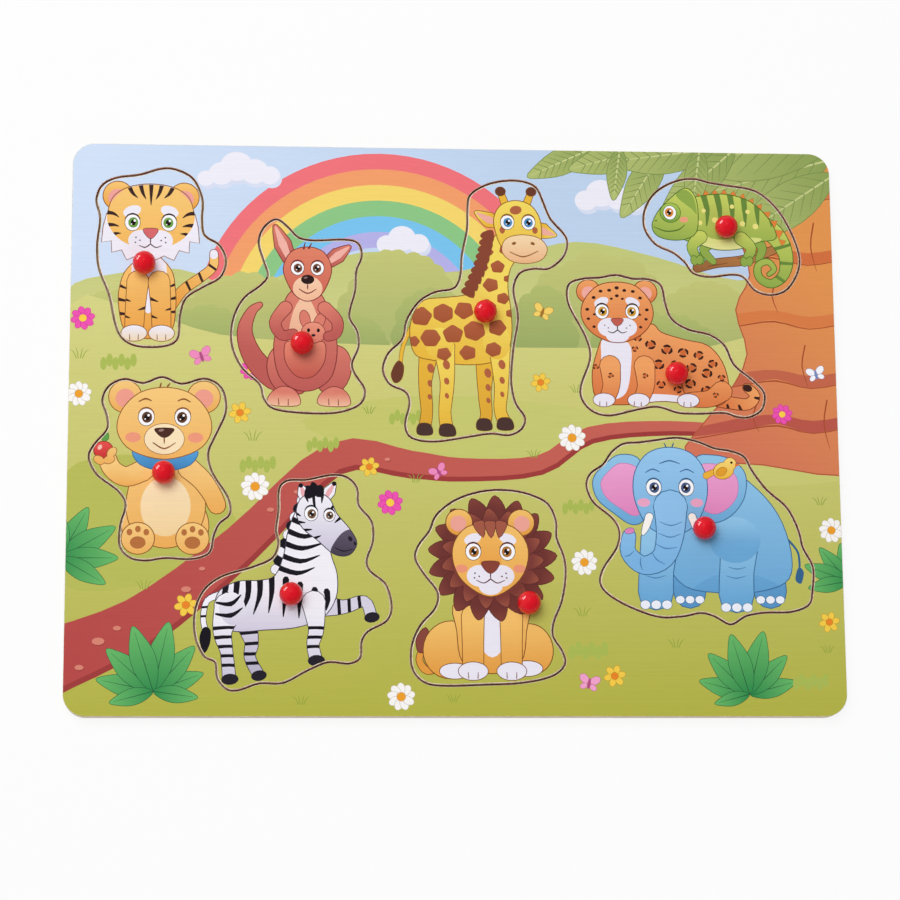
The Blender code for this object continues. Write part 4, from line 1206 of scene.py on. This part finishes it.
def print_scraps(picture, outer, holes):
    """The picture inside an outline and outside its holes: corners, triangles and their inks."""
    (left, bottom), (right, top) = np.min(outer, 0), np.max(outer, 0)
    shown = {}
    for i, (_, shape, _) in enumerate(picture):
        low, high = np.min(shape, 0), np.max(shape, 0)
        if low[0] < right and high[0] > left and low[1] < top and high[1] > bottom:
            shown[i] = shape
    corners, edges = [], []
    for loop in [outer, *holes, *shown.values()]:
        first = len(corners)
        corners += [Vector(p) for p in loop]
        edges += [(first + k, first + (k + 1) % len(loop)) for k in range(len(loop))]
    corners, _, triangles, *_ = delaunay_2d_cdt(corners, edges, [], 0, WELD)
    corners = np.array([tuple(c) for c in corners])
    triangles = np.array([tuple(t) for t in triangles])
    centres = corners[triangles].mean(1)
    kept = np.zeros(len(triangles), bool)
    kept[covered(centres, outer)] = True
    for hole in holes:
        kept[covered(centres, hole)] = False
    triangles, centres = triangles[kept], centres[kept]
    top_ink = np.full(len(triangles), -1)
    for i, shape in shown.items():
        found = covered(centres, shape)
        clip = picture[i][2]
        if clip:
            limits = [covered(centres, outline) for outline in clip]
            found = np.intersect1d(found, np.concatenate(limits))
        top_ink[found] = i
    return corners, triangles, top_ink


print("a square without a picture is cut into", len(print_scraps([], SQUARE, [])[1]), "triangles")

# %% [markdown]
# ## Ink on plywood
# The picture is jet-printed with inks that set under ultraviolet light: they lie on the wood as a
# thin plastic coat with a soft satin gloss. The wood's fine grain shows through as faint streaks,
# and the print head's passes leave fine lines along the board. The colours come from the scraps.

# %% Mix the printed ink
def printed_ink(tree):
    place = add(tree, "TexCoord").outputs["Object"]
    colour = add(tree, "Attribute", attribute_name="ink", attribute_type="GEOMETRY").outputs["Color"]
    # print passes: real ones are about 0.1 mm apart, drawn 0.4 mm apart so that they show
    across = add(tree, "Mapping", {"Vector": place, "Scale": (6, 2600, 1)})
    passes = add(tree, "TexNoise", {"Vector": across, "Scale": 1.0, "Detail": 1.0})
    # wood pores under the ink: streaks about 0.4 mm wide and 8 mm long
    along = add(tree, "Mapping", {"Vector": place, "Scale": (120, 2500, 100)})
    grain = add(tree, "TexNoise", {"Vector": along, "Scale": 1.0, "Detail": 3.0})
    both = add(tree, "Math", {0: passes, 1: grain}, operation="ADD")
    shade = add(tree, "MapRange", {0: both, 1: 0.6, 2: 1.4, 3: 0.96, 4: 1.03})
    tint = add(tree, "VectorMath", {0: colour, "Scale": shade}, operation="SCALE")
    bump = add(tree, "Bump", {"Height": both, "Strength": 0.25, "Distance": 0.00003})
    return add(tree, "BsdfPrincipled", {"Base Color": tint, "Normal": bump, "Roughness": 0.42, "IOR": 1.5,
        "Specular IOR Level": 0.15})


INK = new_material("UV-printed ink on poplar plywood", printed_ink)

# %% [markdown]
# ## The wood
# The boards are thin poplar plywood, pale and even. Their faces are sanded veneer. Their edges were
# cut by a laser, which leaves a dark burnt wall where the plies still show as faint bands; its browns
# are painted paler and palest at the top, as painted light in the narrow cuts. Under the ink a white
# base coat shows at the rounded rim, and its pale cream is also a painted highlight along that rim.

# %% Plain veneer, burnt wall and base coat
def sanded_veneer(tree):
    place = add(tree, "TexCoord").outputs["Object"]
    # growth rings: broad bands some 9 mm apart that wander along the sheet
    wander = add(tree, "Mapping", {"Vector": place, "Scale": (5, 110, 5)})
    rings = add(tree, "TexNoise", {"Vector": wander, "Scale": 1.0, "Detail": 2.0, "Distortion": 0.6})
    # pores: fine dashes 0.3 mm wide and 6 mm long
    stretched = add(tree, "Mapping", {"Vector": place, "Scale": (160, 3200, 100)})
    pores = add(tree, "TexNoise", {"Vector": stretched, "Scale": 1.0, "Detail": 2.0})
    bands = add(tree, "ValToRGB", {0: rings}, ((0.35, "#D3B387"), (0.65, "#E9D3AE")))
    dashes = add(tree, "MapRange", {0: pores, 1: 0.3, 2: 0.5, 3: 0.8, 4: 1.0})
    wood = add(tree, "VectorMath", {0: bands, "Scale": dashes}, operation="SCALE")
    bump = add(tree, "Bump", {"Height": pores, "Strength": 0.3, "Distance": 0.00005})
    return add(tree, "BsdfPrincipled", {"Base Color": wood, "Normal": bump, "Roughness": 0.62,
        "IOR": 1.5})


def burnt_wall(tree):
    place = add(tree, "TexCoord").outputs["Object"]
    # the beam leaves upright streaks about 0.6 mm wide, and the plies are about 1 mm thick. The browns are
    # painted paler than burnt wood, and palest at the top, as painted light: little light falls into the
    # narrow cut
    upright = add(tree, "Mapping", {"Vector": place, "Scale": (1600, 1600, 120)})
    streaks = add(tree, "TexNoise", {"Vector": upright, "Scale": 1.0, "Detail": 2.0})
    height = add(tree, "SeparateXYZ", {0: place})
    plies = add(tree, "Math", {0: height.outputs["Z"], 1: 6200.0}, operation="MULTIPLY")
    bands = add(tree, "Math", {0: plies}, operation="SINE")
    char = add(tree, "Math", {0: bands, 1: 0.12, 2: streaks}, operation="MULTIPLY_ADD")
    # painted light: the upper half of the wall is painted paler, darker towards the bottom
    painted_light_at_top = add(tree, "MapRange", {0: height.outputs["Z"], 1: 0.003, 2: 0.006, 3: -0.1, 4: 0.3})
    both = add(tree, "Math", {0: char, 1: painted_light_at_top}, operation="ADD")
    brown = add(tree, "ValToRGB", {0: both}, ((0.3, "#9A5E4C"), (0.95, "#F0BEAA")))
    return add(tree, "BsdfPrincipled", {"Base Color": brown, "Roughness": 0.8, "IOR": 1.5})


def base_coat_and_highlight(tree):
    place = add(tree, "TexCoord").outputs["Object"]
    # specks where sanding went through to the wood, about 1 mm across
    specks = add(tree, "TexNoise", {"Vector": place, "Scale": 900.0, "Detail": 2.0})
    # the pale cream is partly the white base coat and partly a painted highlight: the bright line along the
    # rounded rim
    coat = add(tree, "ValToRGB", {0: specks}, ((0.36, "#CDBB97"), (0.52, "#EDE6CE")))
    return add(tree, "BsdfPrincipled", {"Base Color": coat, "Roughness": 0.3, "IOR": 1.5})


def sanded_edge(tree):
    place = add(tree, "TexCoord").outputs["Object"]
    # plies of about 1 mm show as faint level bands, with end grain in dots of about 0.4 mm
    height = add(tree, "SeparateXYZ", {0: place})
    plies = add(tree, "Math", {0: height.outputs["Z"], 1: 6600.0}, operation="MULTIPLY")
    bands = add(tree, "Math", {0: plies}, operation="SINE")
    grain = add(tree, "TexNoise", {"Vector": place, "Scale": 2500.0, "Detail": 2.0})
    mixed = add(tree, "Math", {0: bands, 1: 0.14, 2: grain}, operation="MULTIPLY_ADD")
    pale = add(tree, "ValToRGB", {0: mixed}, ((0.3, "#CDB68F"), (0.62, "#E6D8BD")))
    return add(tree, "BsdfPrincipled", {"Base Color": pale, "Roughness": 0.6, "IOR": 1.5})


VENEER = new_material("sanded poplar veneer", sanded_veneer)
BURNT_WALL = new_material("laser-burnt plywood edge", burnt_wall)
BASE_COAT_AND_HIGHLIGHT = new_material("white base coat and painted highlight on a sanded rim", base_coat_and_highlight)
SANDED_EDGE = new_material("sanded plywood edge", sanded_edge)

# %% [markdown]
# ## Boards with a rounded rim
# A board cut by a laser is a flat outline with a thickness. In Blender a filled 2D curve is just
# that: it takes holes, a thickness and a rounded edge as three numbers. The outlines come from the
# packed boards, so every cut stays where it is, and a smooth line through their corners hides the
# facets.

# %% Cut a board
CORNER_RADIUS = 8.5


def only(thing):
    """Selects one object alone and makes it the active one."""
    bpy.ops.object.select_all(action="DESELECT")
    thing.select_set(True)
    bpy.context.view_layer.objects.active = thing


def merged(thing):
    """Joins the doubled corners of a mesh and turns its faces outwards."""
    only(thing)
    bpy.ops.object.mode_set(mode="EDIT")
    bpy.ops.mesh.select_all(action="SELECT")
    bpy.ops.mesh.remove_doubles(threshold=0.001 * MM)
    bpy.ops.mesh.dissolve_degenerate(threshold=0.001 * MM)
    bpy.ops.mesh.normals_make_consistent(inside=False)
    bpy.ops.object.mode_set(mode="OBJECT")


def flat_part(loops, rim):
    """The outlines of a board's flat top: the board's outline drawn in, and its holes widened."""
    return [grown(loops[0], -rim)] + [grown(hole, rim) for hole in loops[1:]]


def cut_board(name, loops, bottom, top, rim, face=BASE_COAT_AND_HIGHLIGHT):
    """A board between two heights, with its holes and with rounded rims."""
    curve = bpy.data.curves.new(name, "CURVE")
    curve.dimensions, curve.fill_mode = "2D", "BOTH"
    curve.extrude = ((top - bottom) / 2 - rim) * MM
    curve.bevel_depth, curve.bevel_resolution = rim * MM, 1
    for loop in flat_part(loops, rim):
        line = curve.splines.new("POLY")
        line.points.add(len(loop) - 1)
        line.points.foreach_set("co", [c * MM for x, y in loop for c in (x, y, 0, 1 / MM)])
        line.use_cyclic_u = True
    board = new_object(name, curve)
    board.location.z = (top + bottom) / 2 * MM
    only(board)
    bpy.ops.object.convert(target="MESH")
    bpy.ops.object.transform_apply(location=True, rotation=True, scale=True)
    board = bpy.context.object
    merged(board)
    board.data.materials.clear()
    for material in (face, BURNT_WALL, VENEER, SANDED_EDGE):
        board.data.materials.append(material)
    low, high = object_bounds()
    for side in board.data.polygons:
        x, y, _ = side.center
        outside = min(x - low.x, high.x - x, y - low.y, high.y - y) < CORNER_RADIUS / 2 * MM
        wall = 3 if outside else 1  # the sanded edge of the board, or a burnt cut
        faces_up, faces_down = side.normal.z > 0.7, side.normal.z <= -0.2
        side.material_index = 0 if faces_up else 2 if faces_down else wall
    bpy.ops.object.shade_smooth_by_angle(angle=math.radians(40))
    return board


def rounded(loop, radius, steps):
    """The rectangle round an outline, with round corners."""
    x, y = np.max(loop, 0) - radius
    corners = [(x, y), (-x, y), (-x, -y), (x, -y)]
    return [around(*corner, radius, 90 * (quarter + k / steps)) for quarter, corner in enumerate(corners)
        for k in range(steps + 1)]


TRAY_RIM, PIECE_RIM = 0.15, 0.4
GLUE_LINE = 0.02
BACK_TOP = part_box("back_board")[1].z / MM
outer, *pockets = rims("tray_board", BOARD_TOP)
tray_loops = [rounded(outer, CORNER_RADIUS, 16)] + [spline(loop, steps=3) for loop in pockets]
back_loops = tray_loops[:1]
tray = cut_board("tray_board_wood", tray_loops, BACK_TOP + GLUE_LINE, BOARD_TOP, TRAY_RIM)
back = cut_board("back_board_wood", back_loops, 0, BACK_TOP, TRAY_RIM, VENEER)
for board, node, slot in ((tray, "tray_board", "printed_plywood"), (back, "back_board", "plain_plywood")):
    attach(board, "board")
    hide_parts(node)
    print(board.name, len(board.data.polygons), "faces")

# %% [markdown]
# ## The pieces
# Each piece is cut from the same board, and a screw comes up through it into the knob. Its head sits
# in a countersunk hole underneath, so a cone with a short cylinder under it is taken out of the piece.

# %% Cut the nine pieces
HEAD_RADIUS, SHANK_RADIUS, CONE_DEPTH, CONE_MIDDLE = 2.8, 1.4, 1.3, 1.37
DOWN_PAST_THE_PIECE, UP_PAST_THE_PIECE = -1.5, 1.2


def countersink(board, x, y, bottom):
    """Takes the screw's hole out of a piece, from below."""
    only(board)
    bpy.ops.mesh.primitive_cone_add(vertices=32, radius1=HEAD_RADIUS * MM, radius2=SHANK_RADIUS * MM,
        depth=CONE_DEPTH * MM, location=(x, y, (bottom + CONE_MIDDLE) * MM))
    cutter = bpy.context.object
    for end, lift in ((-1, DOWN_PAST_THE_PIECE), (1, UP_PAST_THE_PIECE)):
        bpy.ops.object.mode_set(mode="EDIT")
        bpy.ops.mesh.select_mode(type="FACE")
        bpy.ops.mesh.select_all(action="DESELECT")
        bpy.ops.object.mode_set(mode="OBJECT")
        for face in cutter.data.polygons:
            face.select = face.normal.z * end > 0.9
        bpy.ops.object.mode_set(mode="EDIT")
        bpy.ops.mesh.extrude_region_move(TRANSFORM_OT_translate={"value": (0, 0, lift * MM)})
        bpy.ops.object.mode_set(mode="OBJECT")
    only(board)
    hole = board.modifiers.new("screw hole", "BOOLEAN")
    hole.object, hole.solver = cutter, "EXACT"
    bpy.ops.object.modifier_apply(modifier=hole.name)
    bpy.data.objects.remove(cutter)


PIECE_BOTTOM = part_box("tiger_piece")[0].z / MM
piece_outlines, knob_places = {}, {}
for animal in ANIMALS:
    low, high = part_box(f"{animal}_knob")
    knob_places[animal] = (low + high) / 2
    piece_outlines[animal] = spline(rims(f"{animal}_piece", BOARD_TOP)[0], steps=3)
    piece = cut_board(f"{animal}_wood", [piece_outlines[animal]], PIECE_BOTTOM, BOARD_TOP, PIECE_RIM)
    countersink(piece, knob_places[animal].x, knob_places[animal].y, PIECE_BOTTOM)
    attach(piece, animal)
    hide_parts(f"{animal}_piece")
print("pieces cut:", len(piece_outlines))

# %% [markdown]
# ## Laying the prints
# The tray takes the landscape alone. Each piece takes the same landscape, so that the picture runs on
# across the cuts, with its animal on top. The film ends just inside the rounded rim.

# %% Print a board
INK_LIFT, INK_DEPTH = 0.01, 0.03
FILM_TOP = BOARD_TOP + INK_LIFT + INK_DEPTH
BASE_INK = "#D3E2FB"


def lay_print(name, picture, loops, rim, body):
    """A film of ink on a board's flat top."""
    outer, *holes = flat_part(loops, rim)
    corners, triangles, top_ink = print_scraps(picture, outer, holes)
    used, flat = np.unique(triangles, return_inverse=True)
    triangles, corners = flat.reshape(-1, 3), corners[used]
    mesh = bpy.data.meshes.new(name)
    mesh.from_pydata([(x * MM, y * MM, FILM_TOP * MM) for x, y in corners], [], triangles.tolist())
    colours = np.tile(np.array(linear(BASE_INK)), (len(triangles), 3, 1))
    for i in np.unique(top_ink[top_ink >= 0]):
        mine = top_ink == i
        places = corners[triangles[mine]].reshape(-1, 2)
        colours[mine] = inked(picture[i][0], places).reshape(-1, 3, 4)
    layer = mesh.color_attributes.new("ink", "FLOAT_COLOR", "CORNER")
    layer.data.foreach_set("color", colours.ravel())
    mesh.materials.append(INK)
    film = new_object(name, mesh)
    only(film)
    depth = film.modifiers.new("ink depth", "SOLIDIFY")
    depth.thickness, depth.offset = INK_DEPTH * MM, -1
    bpy.ops.object.modifier_apply(modifier=depth.name)
    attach(film, body)
    print(name, len(film.data.polygons), "faces")


lay_print("tray_print", landscape, tray_loops, TRAY_RIM, "board")
for animal in ANIMALS:
    lay_print(f"{animal}_print", PICTURES[animal], [piece_outlines[animal]], PIECE_RIM, animal)

# %% [markdown]
# ## The knobs
# The knobs are moulded in glossy red plastic: a round head on a short neck, with a fine line round
# the middle where the two halves of the mould met. A round thing is half of its section turned about
# an axis, so the half section is written once and spun above each screw.

# %% Turn a knob
def knob_profile():
    """Radius and height above the piece in millimetres, from the foot's middle to the top."""
    foot = [(0, 0), (3.2, 0), (3.4, 0.15), (3.35, 0.5), (3.0, 1.1), (2.9, 1.85)]
    waist = [around(4.5, 1.85, 1.6, 180 - a) for a in (18, 36, 54, 72, 84)]
    seam = [(4.5, 3.5), (4.5, 3.72), (4.44, 3.78), (4.44, 3.84), (4.5, 3.9), (4.5, 4.3)]
    dome = [around(0, 4.3, 4.5, a, 4.73 / 4.5) for a in range(9, 90, 9)]
    return foot + waist + seam + dome + [(0, 9.03)]


def red_plastic(tree):
    place = add(tree, "TexCoord").outputs["Object"]
    # the faint waviness of a moulded face, some 3 mm from crest to crest
    waves = add(tree, "TexNoise", {"Vector": place, "Scale": 330.0, "Detail": 1.0})
    bump = add(tree, "Bump", {"Height": waves, "Strength": 0.08, "Distance": 0.0002})
    depth = add(tree, "MapRange", {0: waves, 1: 0.3, 2: 0.7, 3: 0.94, 4: 1.05})
    red = add(tree, "VectorMath", {0: linear("#E60C20")[:3], "Scale": depth}, operation="SCALE")
    return add(tree, "BsdfPrincipled", {"Base Color": red, "Normal": bump, "Roughness": 0.12, "IOR": 1.5,
        "Specular IOR Level": 0.38})


def spun(name, profile, turns, x, y, z, material):
    """A closed round piece from half of its section."""
    mesh = bpy.data.meshes.new(name)
    mesh.from_pydata([(r * MM, 0, h * MM) for r, h in profile],
        [(k, k + 1) for k in range(len(profile) - 1)], [])
    thing = new_object(name, mesh)
    only(thing)
    bpy.ops.object.mode_set(mode="EDIT")
    bpy.ops.mesh.select_all(action="SELECT")
    bpy.ops.mesh.spin(steps=turns, angle=math.tau, center=(0, 0, 0), axis=(0, 0, 1))
    bpy.ops.object.mode_set(mode="OBJECT")
    merged(thing)
    thing.location = (x, y, z * MM)
    bpy.ops.object.transform_apply(location=True, rotation=True, scale=True)
    mesh.materials.append(material)
    bpy.ops.object.shade_smooth_by_angle(angle=math.radians(35))
    return thing


RED_PLASTIC = new_material("glossy red ABS, injection moulded", red_plastic)
KNOB_GAP = 0.01
for animal in ANIMALS:
    x, y, _ = knob_places[animal]
    knob = spun(f"{animal}_knob_red", knob_profile(), 64, x, y, FILM_TOP + KNOB_GAP, RED_PLASTIC)
    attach(knob, animal)
    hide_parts(f"{animal}_knob")
print("knob faces:", len(knob.data.polygons))

# %% [markdown]
# ## The screws
# Small zinc-plated screws hold the knobs. They show only when a piece is lifted and turned over, and
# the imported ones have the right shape, so they only get their metal: pale, a little cloudy, with fine
# turning marks.

# %% Plate the screws
def plated_zinc(tree):
    place = add(tree, "TexCoord").outputs["Object"]
    # cloudy plating in patches of about 1 mm
    clouds = add(tree, "TexNoise", {"Vector": place, "Scale": 1000.0, "Detail": 2.0})
    gloss = add(tree, "MapRange", {0: clouds, 1: 0.3, 2: 0.7, 3: 0.24, 4: 0.42})
    shade = add(tree, "ValToRGB", {0: clouds}, ((0.3, "#A9ABB0"), (0.7, "#CFD1D4")))
    return add(tree, "BsdfPrincipled", {"Base Color": shade, "Roughness": gloss, "Metallic": 1.0})


ZINC = new_material("zinc-plated steel", plated_zinc)
for animal in ANIMALS:
    screw = frame["nodes"][f"{animal}_screw"]
    screw.data.materials.clear()
    screw.data.materials.append(ZINC)
print("screws plated:", len(ANIMALS))
